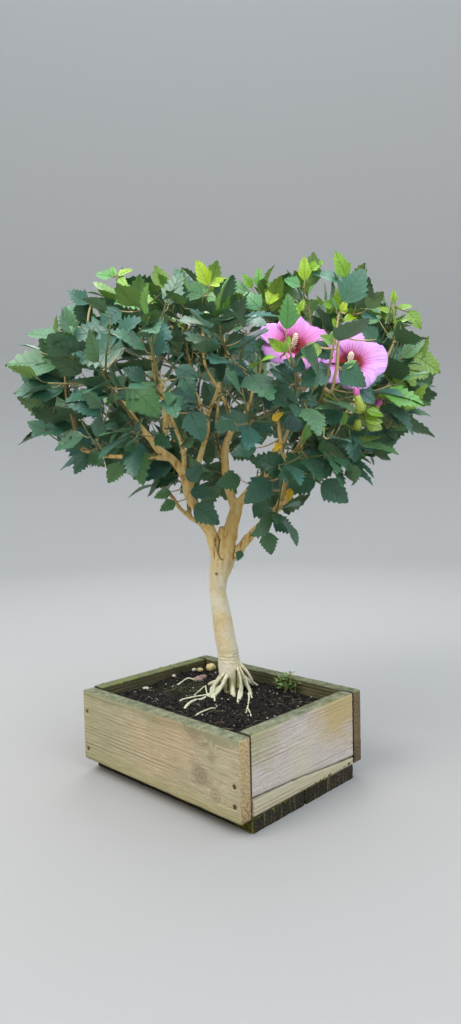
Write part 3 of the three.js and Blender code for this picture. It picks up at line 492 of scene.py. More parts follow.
def remeshed(bm, voxel, smoothing):
    """The same solid with an even skin of quads, as a new bmesh."""
    mesh = bpy.data.meshes.new("raw")
    bm.to_mesh(mesh)
    bm.free()
    raw = bpy.data.objects.new("raw", mesh)
    bpy.context.scene.collection.objects.link(raw)
    modifier = raw.modifiers.new("skin", "REMESH")
    modifier.mode, modifier.voxel_size = "VOXEL", voxel * MM
    skin = bpy.data.meshes.new_from_object(raw.evaluated_get(bpy.context.evaluated_depsgraph_get()))
    made = bmesh.new()
    made.from_mesh(skin)
    bpy.data.objects.remove(raw)
    bpy.data.meshes.remove(mesh)
    bpy.data.meshes.remove(skin)
    for _ in range(smoothing):
        bmesh.ops.smooth_vert(made, verts=made.verts, factor=0.5,
                              use_axis_x=True, use_axis_y=True, use_axis_z=True)
    return made


def raise_by(bm, height):
    """Moves each vertex along its normal by a height that depends on its place, both in millimetres."""
    bm.normal_update()
    moves = [vert.normal * (height(vert.co * 1000, vert.normal) * MM) for vert in bm.verts]
    for vert, move in zip(bm.verts, moves):
        vert.co += move


print("boards to weather:", list(finishes))

# %% Weathered boards
BOARD_VOXEL = 1.9


def weathered(node, axis, seed):
    """A board with worn edges, and with its late wood standing proud along the grain."""
    squeeze = Vector((0.05, 0.42, 0.42)) if axis == 0 else Vector((0.42, 0.05, 0.42))
    shift = Vector((seed * 7.3, seed * 3.1, seed * 5.7))

    def height(spot, normal):
        grain = noise.noise(spot * squeeze * 0.5 + shift) * 0.34 + noise.noise(spot * squeeze + shift) * 0.16
        nibbled = min(0.0, noise.noise(spot * 0.11 + shift) + 0.18) * 0.9
        return grain + (nibbled if max(abs(n) for n in normal) < 0.93 else 0.0)

    bm = remeshed(merged_copy(node), BOARD_VOXEL, smoothing=1)
    raise_by(bm, height)
    return piece_of("weathered_" + node, bm, finishes[node], [node])


for seed, node in enumerate(finishes):
    weathered(node, 0 if node.startswith(("front", "back", "floor")) else 1, seed)

# %% [markdown]
# ## Rusty nails
# The nail heads are already in the solids, so the CAD nodes stay and only get their finish: rust is dark,
# rough and speckled, and no part of it shines.

# %% Nails
rust = Finish("rusted_nail", Metallic=0.25, Roughness=0.8)
rust_spots = rust.speckle(rust.object_point(), 900.0, 5.0, 0.7)
rust_colour = rust.ramp(rust_spots, (0, tone(34, 22, 16)), (0.5, tone(92, 52, 30)), (1, tone(140, 92, 58)))
rust_material = rust.finish(rust_colour, 0.65 + rust_spots * 0.3, rust_spots, depth=0.0004)
for name, node in NODES.items():
    if name.startswith("nail"):
        node.data.materials.clear()
        node.data.materials.append(rust_material)
print("nails:", sum(name.startswith("nail") for name in NODES))

# %% [markdown]
# ## The crown's own frame
# The crown was read off the photograph in its own axes: across the picture, away from the camera and up,
# from the foot of the trunk. The CAD model grew the limbs and twigs in those axes, and this lesson uses the
# same numbers, in millimetres, so that the finer wood and leaves stand where the solid ones do.

# %% Crown axes
TRUNK_AT = Vector((-16, 42, 0))
CROWN_TURN = math.radians(43.8)
UP = Vector((0, 0, 1))
FACE_RIGHT = Vector((math.cos(CROWN_TURN), math.sin(CROWN_TURN), 0))
FACE_AWAY = Vector((-math.sin(CROWN_TURN), math.cos(CROWN_TURN), 0))


def heading(across, away, up):
    return FACE_RIGHT * across + FACE_AWAY * away + UP * up


def place(point):
    return TRUNK_AT + heading(*point)


print("the crown's right points along", [round(share, 2) for share in FACE_RIGHT])

# %% Trunk, limbs and roots
TRUNK = ([(1, 0, 62), (1, 0, 98), (0, 0, 113), (-2, 0, 134), (-4, 0, 158), (-9, 0, 190), (-14, 0, 228),
          (-17, 0, 252), (-14, 0, 272), (-11, 0, 290), (-8, 0, 306)],
         [9, 11.5, 14.2, 16.8, 15.9, 14.8, 13, 11.9, 13.4, 15.8, 14])
LIMBS = {  # points across, away and up, then the first and last radius
    "left": ([(-12, 0, 280), (-20, -2, 312), (-26, -6, 340), (-36, -12, 363), (-53, -20, 388),
        (-60, -25, 419), (-76, -32, 442), (-94, -38, 456), (-104, -42, 471), (-118, -46, 488),
        (-132, -50, 511), (-146, -52, 545)], 9, 3.4),
    "left_upper": ([(-92, -37, 455), (-84, -30, 483), (-86, -20, 520), (-97, -11, 552), (-102, -8, 583),
        (-118, -2, 615)], 4.4, 2.3),
    "left_far": ([(-76, -32, 442), (-120, -36, 446), (-165, -34, 448), (-203, -30, 460)], 3.8, 2.4),
    "left_low": ([(-20, -2, 318), (-38, 5, 346), (-56, 14, 358), (-72, 24, 372), (-84, 35, 390),
        (-112, 58, 416), (-150, 80, 440)], 4.2, 2.4),
    "left_middle": ([(-54, -21, 396), (-44, -10, 426), (-33, 0, 459), (-26, 3, 490), (-35, 6, 520),
        (-47, 9, 550), (-53, 12, 595), (-76, 16, 636)], 4.6, 2.2),
    "centre": ([(-8, 0, 285), (-2, 1, 306), (1, 3, 324), (6, 5, 347), (12, 8, 367),
        (15, 10, 383)], 13, 8.5),
    "centre_left": ([(12, 8, 366), (1, 15, 403), (-2, 20, 433), (-1, 25, 460), (11, 30, 489)], 7, 4.6),
    "middle_left": ([(11, 30, 488), (5, 30, 512), (-10, 27, 545), (-28, 22, 579),
        (-30, 15, 630)], 3.6, 2.2),
    "middle_right": ([(11, 30, 488), (32, 38, 514), (42, 43, 545), (57, 50, 589), (58, 48, 625)], 3.6, 2.2),
    "centre_right": ([(14, 9, 374), (40, 0, 403), (62, -10, 424), (83, -20, 440), (99, -25, 451),
        (110, -30, 475), (122, -36, 520), (126, -42, 570)], 6.5, 2.4),
    "right": ([(-6, -1, 286), (10, -4, 305), (25, -12, 323), (40, -20, 339), (68, -34, 368), (92, -45, 395),
        (117, -55, 433), (149, -62, 475), (178, -60, 520)], 8.4, 2.6),
    "right_upper": ([(92, -45, 395), (98, -60, 432), (106, -80, 472), (118, -105, 505)], 3.6, 2.2),
    "right_far": ([(117, -55, 433), (160, -45, 440), (205, -30, 455), (235, -20, 490)], 3.4, 2.2),
    "front_left": ([(-60, -25, 419), (-58, -65, 455), (-68, -105, 490), (-80, -135, 535)], 4, 2.2),
    "front_middle": ([(-33, 0, 459), (-24, -45, 500), (-8, -95, 530), (4, -128, 570)], 3.6, 2.2),
    "front_right": ([(68, -34, 368), (78, -78, 405), (72, -112, 450), (64, -128, 500)], 4, 2.2),
    "back_left": ([(-56, 14, 358), (-62, 60, 405), (-80, 110, 460), (-95, 145, 520)], 3.8, 2.3),
    "back_middle": ([(1, 15, 403), (-8, 65, 440), (-15, 115, 490), (-10, 150, 550)], 4.6, 2.3),
    "back_right": ([(12, 8, 367), (45, 50, 405), (80, 95, 450), (110, 130, 510)], 5, 2.3),
    "right_back": ([(99, -25, 451), (130, 20, 480), (165, 60, 520), (190, 80, 565)], 3.2, 2.2),
}
ROOTS = {
    "left": ([(-6, 4, 134), (-17, 18, 118), (-25, 12, 107), (-30, -3, 104), (-24, -40, 100),
        (-16, -60, 88)], 4.6, 1.9),
    "left_inner": ([(-7, -3, 130), (-12, -4, 114), (-21, -4, 106), (-27, -14, 100),
        (-31, -26, 88)], 4.4, 2),
    "front": ([(0, -6, 128), (1, -14, 112), (2, -21, 102), (3, -27, 86)], 5.6, 3.4),
    "right_inner": ([(8, -4, 128), (13, -8, 114), (13, -24, 105), (9, -46, 100), (6, -60, 88)], 4, 1.7),
    "right": ([(9, 0, 130), (20, 6, 114), (25, -5, 106), (28, -20, 100), (30, -34, 88)], 4.2, 1.9),
    "right_far": ([(10, 4, 128), (24, 20, 112), (34, 26, 104), (46, 28, 96), (56, 30, 86)], 4.4, 1.9),
    "back_left": ([(-6, 8, 126), (-20, 26, 110), (-34, 40, 101), (-46, 50, 88)], 4.8, 2.2),
    "back": ([(2, 9, 126), (4, 26, 109), (10, 42, 100), (14, 54, 88)], 4.8, 2.2),
}
print("wood:", len(LIMBS), "limbs,", len(ROOTS), "roots")

# %% Sprays and their draws
SPRAYS = {  # limb, the point of it the twigs start at, their tips, leaves a twig, the bend of the first twig
    "far_left": ("left_far", 3, [(-224, -34, 592), (-254, -8, 508)], 5),
    "left_under": ("left_far", 2, [(-168, -98, 468), (-206, 34, 462)], 4),
    "left_end": ("left", 11, [(-192, -82, 594), (-236, -68, 546)], 4),
    "left_front": ("left", 9, [(-150, -146, 548), (-112, -134, 462)], 4),
    "left_top": ("left_upper", 5, [(-142, -18, 656), (-108, -98, 632)], 5),
    "left_top_back": ("left_upper", 3, [(-190, 44, 640), (-146, 116, 606)], 4),
    "left_low_end": ("left_low", 6, [(-232, 92, 512), (-176, 158, 524)], 4),
    "left_low_back": ("left_low", 5, [(-132, 136, 462), (-150, 0, 500)], 4),
    "left_low_drop": ("left_low", 4, [(-96, 4, 418)], 4),
    "middle_top": ("left_middle", 7, [(-80, 36, 668), (-34, 78, 672)], 4),
    "middle_front": ("left_middle", 5, [(-54, -74, 640), (-96, -66, 590)], 4),
    "heart_top": ("middle_left", 4, [(-20, -20, 658), (-4, -96, 626)], 4),
    "heart_back": ("middle_left", 3, [(-64, 118, 636), (4, 132, 652)], 4),
    "heart_right": ("middle_right", 4, [(52, 8, 656), (60, -66, 632)], 4),
    "heart_right_back": ("middle_right", 3, [(74, 112, 652), (120, 96, 596)], 4),
    "right_top": ("centre_right", 7, [(116, -40, 660), (148, -116, 620)], 4),
    "right_top_back": ("centre_right", 6, [(150, 46, 650), (196, 12, 566)], 4),
    "right_end": ("right", 8, [(172, -66, 652), (228, -34, 612), (222, -96, 556)], 4),
    "right_under": ("right", 6, [(158, -118, 446), (92, -146, 446)], 4),
    "right_drop": ("right", 4, [(66, -76, 368)], 4),
    "far_right": ("right_far", 3, [(254, -24, 560), (258, 48, 514)], 4),
    "far_right_low": ("right_far", 2, [(222, -84, 488), (222, 36, 466)], 4),
    "front_left": ("front_left", 3, [(-86, -206, 590), (-62, -204, 516)], 4),
    "front_middle": ("front_middle", 3, [(-6, -204, 598), (26, -208, 536)], 4),
    "back_left": ("back_left", 3, [(-112, 206, 572), (-62, 202, 502)], 4),
    "back_middle": ("back_middle", 3, [(-18, 216, 606), (40, 210, 544)], 4),
    "back_right": ("back_right", 3, [(136, 196, 562), (92, 176, 452)], 4),
    "right_back": ("right_back", 3, [(214, 128, 612), (232, 96, 508)], 4),
    "bloom_left": ("front_right", 3, [(72, -218, 566), (20, -184, 476)], 4, (98, -196, 492)),
    "bloom_right": ("right_upper", 3, [(132, -212, 596), (206, -140, 524)], 4, (108, -228, 482)),
}
DRAW_FACTOR, DRAW_STEP, DRAW_RANGE, DRAWS_SKIPPED = 1664525, 1013904223, 2 ** 32, 4


def drawer(seed):
    """Evenly spread draws from a seed, the CAD model's own, so that its leaves can be found again."""
    state = seed % DRAW_RANGE

    def draw():
        nonlocal state
        state = (state * DRAW_FACTOR + DRAW_STEP) % DRAW_RANGE
        return state / DRAW_RANGE

    for _ in range(DRAWS_SKIPPED):
        draw()
    return draw


print("sprays:", len(SPRAYS), "with", sum(len(tips) for _, _, tips, *_ in SPRAYS.values()), "twigs")

# %% [markdown]
# ## Trunk, roots and limbs
# The wood is one living piece. Each limb is a circle extruded along a curve through its points, and a voxel
# remesh grows them all together, which fills the crotches the way wood does. The bark is then raised by
# lumps, by wrinkles and rings that run round the trunk and by a rough fork, and gaps are pressed in where
# limbs and roots have grown against each other. The gaps also go into a vertex attribute, so that the bark
# can darken them.


# %% Curves and tubes
PATH_STEPS = 4


def curve_through(points, radii):
    """A smooth path through points, with a radius for each of its own."""
    path, sizes = [], []
    for i in range(len(points) - 1):
        before, start, end = points[max(i - 1, 0)], points[i], points[i + 1]
        after = points[min(i + 2, len(points) - 1)]
        leave, arrive = start + (end - before) / 6, end - (after - start) / 6
        for step in range(PATH_STEPS):
            t = step / PATH_STEPS
            start_half = start * (1 - t) ** 3 + leave * 3 * t * (1 - t) ** 2
            path.append(start_half + arrive * 3 * t * t * (1 - t) + end * t ** 3)
            sizes.append(radii[i] + (radii[i + 1] - radii[i]) * t)
    return path + [points[-1]], sizes + [radii[-1]]


def stand(point, turn, radius):
    """A matrix that puts a circle of radius 1 at a point, turned and sized."""
    return Matrix.Translation(point) @ turn.to_matrix().to_4x4() @ Matrix.Scale(radius, 4)


def tube(bm, path, radii, sides):
    """A circle extruded from point to point of a path, square to it, and closed at both ends."""
    ways = [(path[min(i + 1, len(path) - 1)] - path[max(i - 1, 0)]).normalized() for i in range(len(path))]
    turn = ways[0].to_track_quat("Z", "Y")
    pose = stand(path[0], turn, radii[0])
    ring = bmesh.ops.create_circle(bm, cap_ends=True, segments=sides, radius=1, matrix=pose)["verts"]
    edges = list({edge for vert in ring for edge in vert.link_edges})
    for i in range(1, len(path)):
        made = bmesh.ops.extrude_edge_only(bm, edges=edges)["geom"]
        ring = {item for item in made if isinstance(item, bmesh.types.BMVert)}
        edges = [item for item in made if isinstance(item, bmesh.types.BMEdge) and set(item.verts) <= ring]
        turn = ways[i - 1].rotation_difference(ways[i]) @ turn
        fresh = stand(path[i], turn, radii[i])
        bmesh.ops.transform(bm, matrix=fresh @ pose.inverted(), verts=list(ring))
        pose = fresh
    bmesh.ops.contextual_create(bm, geom=edges)
    return edges


def limb_path(points, first, last):
    """The smooth path of a limb, whose radius goes evenly from first to last."""
    count = len(points) - 1
    radii = [first + (last - first) * i / count for i in range(count + 1)]
    return curve_through([place(point) for point in points], radii)


def in_metres(bm):
    """The same bmesh, drawn in millimetres, in the frame's metres and with its faces pointing outwards."""
    bmesh.ops.recalc_face_normals(bm, faces=bm.faces)
    bmesh.ops.scale(bm, vec=(MM, MM, MM), verts=bm.verts)
    return bm


print("points on the left limb's path:", len(limb_path(*LIMBS["left"])[0]))

# %% Crevices and the bark's relief
# The bark's finish paints shade into these gaps.
CREVICES = [  # dark gaps on the face of the wood: points across and up, and a radius
    ([(-15, 331), (-12.4, 325), (-15.3, 307), (-12.2, 299), (-8, 297)], 1.6),
    ([(13, 322), (9.4, 314), (6.3, 303), (8, 298)], 1.6),
    ([(7.2, 136), (6.8, 123), (6.5, 106)], 1.4),
    ([(-5.2, 124), (-5.6, 106)], 2.4),
    ([(-11, 131), (-15, 121)], 1.6),
]
CREVICE_SPANS = ((104, 138), (295, 333))
FRONT_OF_WOOD = 4
RING_HEIGHTS = (151, 155, 160, 164)
FORK_HEIGHT, BARE_BELOW = 305, 330


def crevice_at(point):
    """1 in the middle of a crevice and 0 away from them all."""
    offset, deepest = point - TRUNK_AT, 0.0
    if offset.dot(FACE_AWAY) > FRONT_OF_WOOD or not any(low < point.z < high for low, high in CREVICE_SPANS):
        return deepest
    spot = Vector((offset.dot(FACE_RIGHT), point.z))
    for points, radius in CREVICES:
        for start, end in zip(points, points[1:]):
            leg = Vector(end) - Vector(start)
            share = max(0.0, min(1.0, (spot - Vector(start)).dot(leg) / leg.length_squared))
            gap = (spot - Vector(start) - leg * share).length
            deepest = max(deepest, math.exp(-(gap / radius) ** 2))
    return deepest


def bark_height(point, normal):
    """The bark's relief in millimetres at a place in millimetres."""
    x, y, z = point
    lumps = noise.noise(point * 0.04) * 0.8 + noise.noise(point * 0.13) * 0.5
    wrinkles = noise.noise(Vector((x * 0.06, y * 0.06, z * 0.5))) * 0.22 + noise.noise(point * 0.42) * 0.2
    rings = sum(math.exp(-((z + 0.05 * x - height) / 1.1) ** 2) for height in RING_HEIGHTS) * 0.4
    fluting = noise.noise(Vector((x * 0.18, y * 0.18, z * 0.06))) * 2.6
    fork = math.exp(-((z - FORK_HEIGHT) / 38) ** 2) * fluting
    return lumps * (0.45 if z > BARE_BELOW else 1.0) + wrinkles - rings + fork - 2.0 * crevice_at(point)


print("rings round the trunk at", RING_HEIGHTS, "mm, and", len(CREVICES), "gaps")

# %% The wood, grown together
WOOD_VOXEL = 1.45
CROTCH = ([(-12, -2, 300), (-11, -1, 322), (-9, 0, 344)], 9, 4)  # between the left and middle limbs
wood_bm = bmesh.new()
tube(wood_bm, *curve_through([place(point) for point in TRUNK[0]], TRUNK[1]), 24)
for limb in LIMBS.values():
    tube(wood_bm, *limb_path(*limb), 14)
for root in ROOTS.values():
    tube(wood_bm, *limb_path(*root), 12)
tube(wood_bm, *limb_path(*CROTCH), 14)
wood_bm = remeshed(in_metres(wood_bm), WOOD_VOXEL, smoothing=3)
raise_by(wood_bm, bark_height)
# The crevice attribute says where the bark gets painted shade.
gaps = wood_bm.verts.layers.float.new("crevice")
for vert in wood_bm.verts:
    vert[gaps] = crevice_at(vert.co * 1000)
in_gaps = sum(vert[gaps] > 0.5 for vert in wood_bm.verts)
print("wood skin:", len(wood_bm.verts), "corners,", in_gaps, "of them in gaps")

# %% Bark finish
SCARS = [  # place, radius, tone
    ((-18, -13, 277), 0.0030, tone(122, 96, 62)), ((-1, -13, 272), 0.0018, tone(70, 52, 34)),
    ((-3, -12, 221.5), 0.0022, tone(60, 46, 32)),
]
GOLD_PATCH = (-24, -14, 195)
bark = Finish("bark", Roughness=0.8, Specular_IOR_Level=0.3)
bark_point = bark.object_point()
bark_x, bark_y, bark_z = bark.split(bark_point)
blotches = bark.speckle(bark_point, 30.0, 5.0, 0.62)
flecks = bark.speckle(bark_point, 420.0, 5.0, 0.75)
bands = bark.speckle(bark.stretched(bark_point, (26.0, 26.0, 260.0)), 1.0, 3.0, 0.6)
cracks = bark.speckle(bark.stretched(bark_point, (150.0, 150.0, 34.0)), 1.0, 5.0, 0.7)
cream = bark.ramp(blotches, (0, tone(206, 178, 122)), (0.42, tone(224, 208, 166)),
                  (0.56, tone(230, 222, 198)), (1, tone(236, 233, 220)))
ochre = bark.ramp(cracks, (0, tone(110, 70, 34)), (0.33, tone(214, 150, 70)), (0.46, tone(252, 202, 106)),
                  (0.62, tone(255, 226, 152)), (1, tone(255, 242, 200)))
green = bark.ramp(flecks, (0, tone(128, 132, 96)), (0.45, tone(208, 210, 178)), (1, tone(240, 240, 222)))
higher = (bark_z + (blotches - 0.5) * 0.10).rise(0.25, 0.33)
lower = (bark_z + (blotches - 0.5) * 0.05).rise(0.145, 0.112)
golden = bark.gap_to(bark_point, place(GOLD_PATCH) * MM).rise(0.05, 0.008)
from_core = ((bark_x - (TRUNK_AT.x + 1) * MM) ** 2.0 + (bark_y - TRUNK_AT.y * MM) ** 2.0) ** 0.5
# Between the roots at the trunk's foot: partly the core's own olive green, partly painted shade in the gaps.
green_and_shade_between_roots = from_core.rise(0.0185, 0.015) * bark_z.rise(0.134, 0.118)
ring_height = bark_z + bark_x * 0.05 + (bands - 0.5) * 0.006
ring_lines = sum(abs(ring_height - height * MM).rise(0.0012, 0.0002) for height in RING_HEIGHTS)
fine = bark.speckle(bark_point, 620.0, 3.0, 0.8)
fissures = cracks.rise(0.43, 0.33) * higher
bark_colour = bark.coats(
    cream, (green, lower * 0.85), (ochre, higher * 0.85), (tone(212, 170, 92), golden * 0.3),
    (tone(152, 150, 92), green_and_shade_between_roots * 0.85),
    (tone(130, 108, 66), ring_lines * blotches.rise(0.35, 0.65) * 0.7),
    (tone(130, 106, 64), bands.rise(0.6, 0.78) * 0.25), (tone(110, 80, 44), flecks.rise(0.56, 0.7) * 0.25),
    (tone(120, 92, 54), fine.rise(0.54, 0.68) * 0.35), (tone(252, 246, 226), fine.rise(0.46, 0.34) * 0.35),
    (tone(98, 60, 28), fissures * 0.5))
for spot, radius, scar_tone in SCARS:
    gap = bark.gap_to(bark_point, place(spot) * MM) + (flecks - 0.5) * 0.002
    bark_colour = bark.mix(bark_colour, scar_tone, gap.rise(radius, 0.5 * radius) * 0.9)
# Painted shade: the bark is darkened in its crevices, where shade falls between limbs and roots.
crevice = (bark.attribute("crevice")[0] + (cracks - 0.5) * 1.1 + (fine - 0.5) * 0.8).rise(0.42, 0.9)
bark_colour = bark.mix(bark_colour, tone(62, 42, 24), crevice * 0.85)
bark_relief = bands * 0.4 + cracks * (higher * 1.2 + 0.15) + flecks * 0.7 - fissures * 0.8
bark_material = bark.finish(bark_colour, 0.7 + flecks * 0.25, bark_relief, depth=0.0017)
piece_of("tree_trunk_and_limbs", wood_bm, bark_material, ["tree_wood"])

# %% [markdown]
# ## Leaves
# A leaf of this tree has three shallow lobes, blunt teeth and a wedge-shaped foot. A grid two faces wide
# becomes the blade: each row gets a place on the midrib and a place on the edge. A reversed copy welded on
# along the outline is the underside, with its own strip of the UV map, because it is paler, and it is
# painted lighter still for the light that shines through a leaf. Four blades that differ in lobes and cup
# are enough, since every leaf also gets its own turn, size, curl and tint.

# %% Leaf blades
BLADE_ROWS = [  # on the midrib, then across and along at the edge
    (0.0, 0.022, -0.01), (0.09, 0.140, 0.05), (0.18, 0.245, 0.14), (0.27, 0.330, 0.26), (0.35, 0.435, 0.41),
    (0.42, 0.325, 0.43), (0.49, 0.365, 0.54), (0.55, 0.275, 0.56), (0.62, 0.305, 0.68), (0.70, 0.215, 0.70),
    (0.78, 0.215, 0.82), (0.86, 0.128, 0.85), (0.93, 0.085, 0.94), (1.0, 0.0, 1.0),
]
BLADE_KINDS = [  # width, how deep the lobes are, fold, seed
    (0.96, 1.15, 0.14, 1), (0.88, 1.3, 0.24, 2), (1.02, 0.95, 0.08, 3), (0.72, 0.9, 0.26, 4),
]
BLADE_DROOP = 0.16
UNDER_SHIFT = 2.0
UNDER_GAP = 0.014


def lay_uv(faces, layer, rule):
    """Gives each corner of some faces its place on a UV map, from its place in the mesh."""
    for face in faces:
        for loop in face.loops:
            loop[layer].uv = rule(loop.vert.co)


def leaf_blade(number, wide, toothed, fold, seed):
    """A leaf one unit long, from its neck at the origin along +Y, with its face up."""
    draw = drawer(seed * 977)
    bm = bmesh.new()
    bmesh.ops.create_grid(bm, x_segments=2, y_segments=len(BLADE_ROWS) - 1, size=0.5)
    last = len(BLADE_ROWS) - 1
    uneven = {(row, side): 1 + 0.16 * (draw() - 0.5) for row in range(last + 1) for side in (-1, 1)}
    smooth_edge = [0.02 + 0.33 * math.sin(math.pi * max(0.0, along) ** 0.75) for _, _, along in BLADE_ROWS]
    for vert in bm.verts:
        row = round((vert.co.y + 0.5) * last)
        side = round(vert.co.x * 2)
        midrib, across, along = BLADE_ROWS[row]
        reach = smooth_edge[row] + (across - smooth_edge[row]) * toothed
        x = 0.0 if row == last else side * wide * reach * uneven.get((row, side), 1)
        y = along if side else midrib
        ripple = 0.012 * math.sin(9 * y + seed) if side else 0
        vert.co = (x, y, fold * abs(x) - BLADE_DROOP * y * y + ripple)
    upper = list(bm.faces)
    bmesh.ops.recalc_face_normals(bm, faces=upper)
    if sum(face.normal.z for face in upper) < 0:
        bmesh.ops.reverse_faces(bm, faces=upper)
    blade = bm.loops.layers.uv.new("blade")
    lay_uv(upper, blade, lambda at: (0.5 + at.x, at.y))
    made = bmesh.ops.duplicate(bm, geom=upper)["geom"]
    under = [item for item in made if isinstance(item, bmesh.types.BMFace)]
    bmesh.ops.reverse_faces(bm, faces=under)
    lay_uv(under, blade, lambda at: (0.5 + UNDER_SHIFT + at.x, at.y))
    for vert in {vert for face in under for vert in face.verts}:
        if abs(vert.co.x) < 1e-6 and 0.05 < vert.co.y < 0.95:
            vert.co.z -= UNDER_GAP
    bmesh.ops.remove_doubles(bm, verts=bm.verts, dist=1e-5)
    bm.normal_update()
    for edge in bm.edges:
        a, b = edge.link_faces[0], edge.link_faces[-1]
        edge.smooth = a.normal.z * b.normal.z > 0
    bm.verts.layers.float_vector.new("tint")
    mesh = bpy.data.meshes.new(f"blade_{number}")
    bm.to_mesh(mesh)
    bm.free()
    return mesh


blades = [leaf_blade(number, *kind) for number, kind in enumerate(BLADE_KINDS)]
YOUNG_BLADE = len(blades) - 1
print("leaf blades:", [len(mesh.polygons) for mesh in blades])

# %% [markdown]
# ## Leaf finish
# Old leaves are a dark green with a waxy shine, painted slightly blue for the sky they reflect; young ones
# at the tips are yellow green, and a few that are about to fall are amber. The midrib and the side veins lie
# in grooves. A vertex attribute carries each leaf's age, its own tint and whether the surface is a blade or
# a stem, so one material serves the whole spray.

# %% Foliage finish
foliage = Finish("foliage", Specular_IOR_Level=0.62)
age_wire, chance, stemmy = foliage.attribute("tint")
blade_u, blade_v, _ = foliage.uv("blade")
under = blade_u.rise(1.4, 1.6)
side_of_rib = abs(blade_u - 0.5 - under * UNDER_SHIFT)
rib = side_of_rib.rise(0.016, 0.003)
vein_phase = ((blade_v - side_of_rib * 0.95) * 5.5).fraction()
vein = abs(vein_phase - 0.5).rise(0.40, 0.48) * side_of_rib.rise(0.40, 0.02)
mottle = foliage.speckle(foliage.object_point(), 60.0, 4.0, 0.6)
# Old leaves: their own dark green, with blue painted in towards the low end of the tint as a reflection of
# the sky.
old_green_and_sky_sheen = foliage.ramp(chance, (0, tone(64, 114, 106)), (0.35, tone(56, 103, 83)), (0.7, tone(67, 112, 70)),
                         (0.9, tone(90, 128, 55)), (1, tone(116, 142, 50)))
young_green = foliage.ramp(chance, (0, tone(104, 176, 92)), (0.5, tone(118, 172, 34)),
                           (1, tone(166, 194, 18)))
# Undersides: a paler green, and lighter still as painted light shining through the leaf.
under_green_and_shine_through = foliage.mix(tone(100, 132, 92), tone(150, 176, 70), age_wire)
stem_colour = foliage.mix(tone(198, 168, 120), tone(92, 110, 56), age_wire)
leaf_colour = foliage.coats(
    old_green_and_sky_sheen, (young_green, age_wire), (tone(36, 64, 52), mottle.rise(0.5, 0.72) * 0.3),
    (tone(232, 186, 34), chance.rise(1.2, 1.6)), (tone(112, 140, 96), rib.most(vein * 0.4) * 0.36),
    (under_green_and_shine_through, under * 0.7), (stem_colour, stemmy))
leaf_rough = 0.34 + under * 0.26 + mottle * 0.16 + stemmy * 0.25
leaf_relief = mottle * 0.8 - rib.most(vein * 0.6)
foliage_material = foliage.finish(leaf_colour, leaf_rough, leaf_relief, depth=0.0009)
print("foliage finish nodes:", len(foliage_material.node_tree.nodes))

# %% [markdown]
# ## Sprays
# A spray is one season's growth from the end of a limb: twigs with their leaves. The CAD model placed a few
# large leaves on each twig by seeded draws and kept those that met nothing. The same draws give each leaf's
# pose again, and the one whose tip is a corner of the CAD spray is the one that grew. The full crown then
# comes from side twigs with leaves of their own, which stand at most a few millimetres proud of the frame's
# box and keep out of the way of the flowers.

# %% Twigs and the leaves that hang from them
LEAF_LENGTH = 62
LEAF_STALK = 14
HEART = place((0, 0, 470))
TWIG_STEPS = 3
FIRST_LEAF = 0.12
GOLDEN_TURN = 2.4


def square_to(along):
    """A direction square to another, and level where it can be."""
    other = UP if abs(along.z) < 0.9 else Vector((1, 0, 0))
    return other.cross(along).normalized()


def around(along, turn):
    """A direction square to another, turned about it."""
    side = square_to(along)
    return side * math.cos(turn) + along.cross(side) * math.sin(turn)


def bow(start, bend, tip, steps):
    """Points on a curve that leaves its start towards the bend and reaches its tip from there."""
    shares = [i / steps for i in range(steps + 1)]
    return [start * (1 - t) ** 2 + bend * 2 * t * (1 - t) + tip * t * t for t in shares]


def on_twig(points, share):
    """The place at a share of a twig, and which way the twig goes there."""
    leg = min(int(share * TWIG_STEPS), TWIG_STEPS - 1)
    a, b = points[leg], points[leg + 1]
    return a.lerp(b, share * TWIG_STEPS - leg), (b - a).normalized()


def twigs_of(limb, at, tips, bend=None):
    """Each twig's start, bend and tip; the first leaves the limb and the others leave the first."""
    twigs = []
    for i, tip in enumerate(place(tip) for tip in tips):
        start = on_twig(bow(*twigs[0], TWIG_STEPS), FIRST_LEAF)[0] if i else place(LIMBS[limb][0][at])
        sagged = start.lerp(tip, 0.5) - UP * 0.06 * (tip - start).length
        twigs.append((start, place(bend) if bend and not i else sagged, tip))
    return twigs


def hang(root, stem, outward, length, draw, young, stalk):
    """A leaf's neck and axes, from where it leaves its twig and which way."""
    neck = root + stem * stalk * (0.7 + 0.6 * draw())
    down = (stem + outward * 0.5 + UP * (0.15 - 0.75 * draw() * (1 - young))).normalized()
    sway = Vector((draw() - 0.5, draw() - 0.5, draw() - 0.5)) * 0.6
    across = down.cross(outward + UP * 0.5 + sway).normalized()
    return neck, across, down, across.cross(down), length


print("the heart of the crown is at", [round(at) for at in HEART], "mm")

# %% The CAD model's own leaves
LEAF_TRIES = 12
SAME_CORNER = 0.05 * MM


def cad_leaf(seed, twigs, leaves, index, attempt):
    """One try of the CAD model's rule for a leaf: where it leaves its twig, and its pose."""
    draw = drawer(1 + seed * 6007 + index * 131 + attempt * 17)
    points = bow(*twigs[index % len(twigs)], TWIG_STEPS)
    order = index // len(twigs)
    share = FIRST_LEAF + (1 - FIRST_LEAF) * (order + 1) / leaves
    root, along = on_twig(points, share)
    side = square_to(on_twig(points, 0)[1])
    side = (side - along * side.dot(along)).normalized()
    turn = 2 * math.pi / 3 * (order + attempt + 0.5) + 0.4 * (draw() - 0.5)
    radial = side * math.cos(turn) + along.cross(side) * math.sin(turn)
    outward = (root - HEART).normalized()
    young = share ** 3
    stem = (radial * (0.85 - 0.35 * young) + along * (0.5 + 0.4 * young) + outward * 0.25).normalized()
    length = LEAF_LENGTH * (1 - 0.28 * young) * (1 - 0.28 * draw()) * 0.97 ** attempt
    return root, hang(root, stem, outward, length, draw, young, LEAF_STALK)


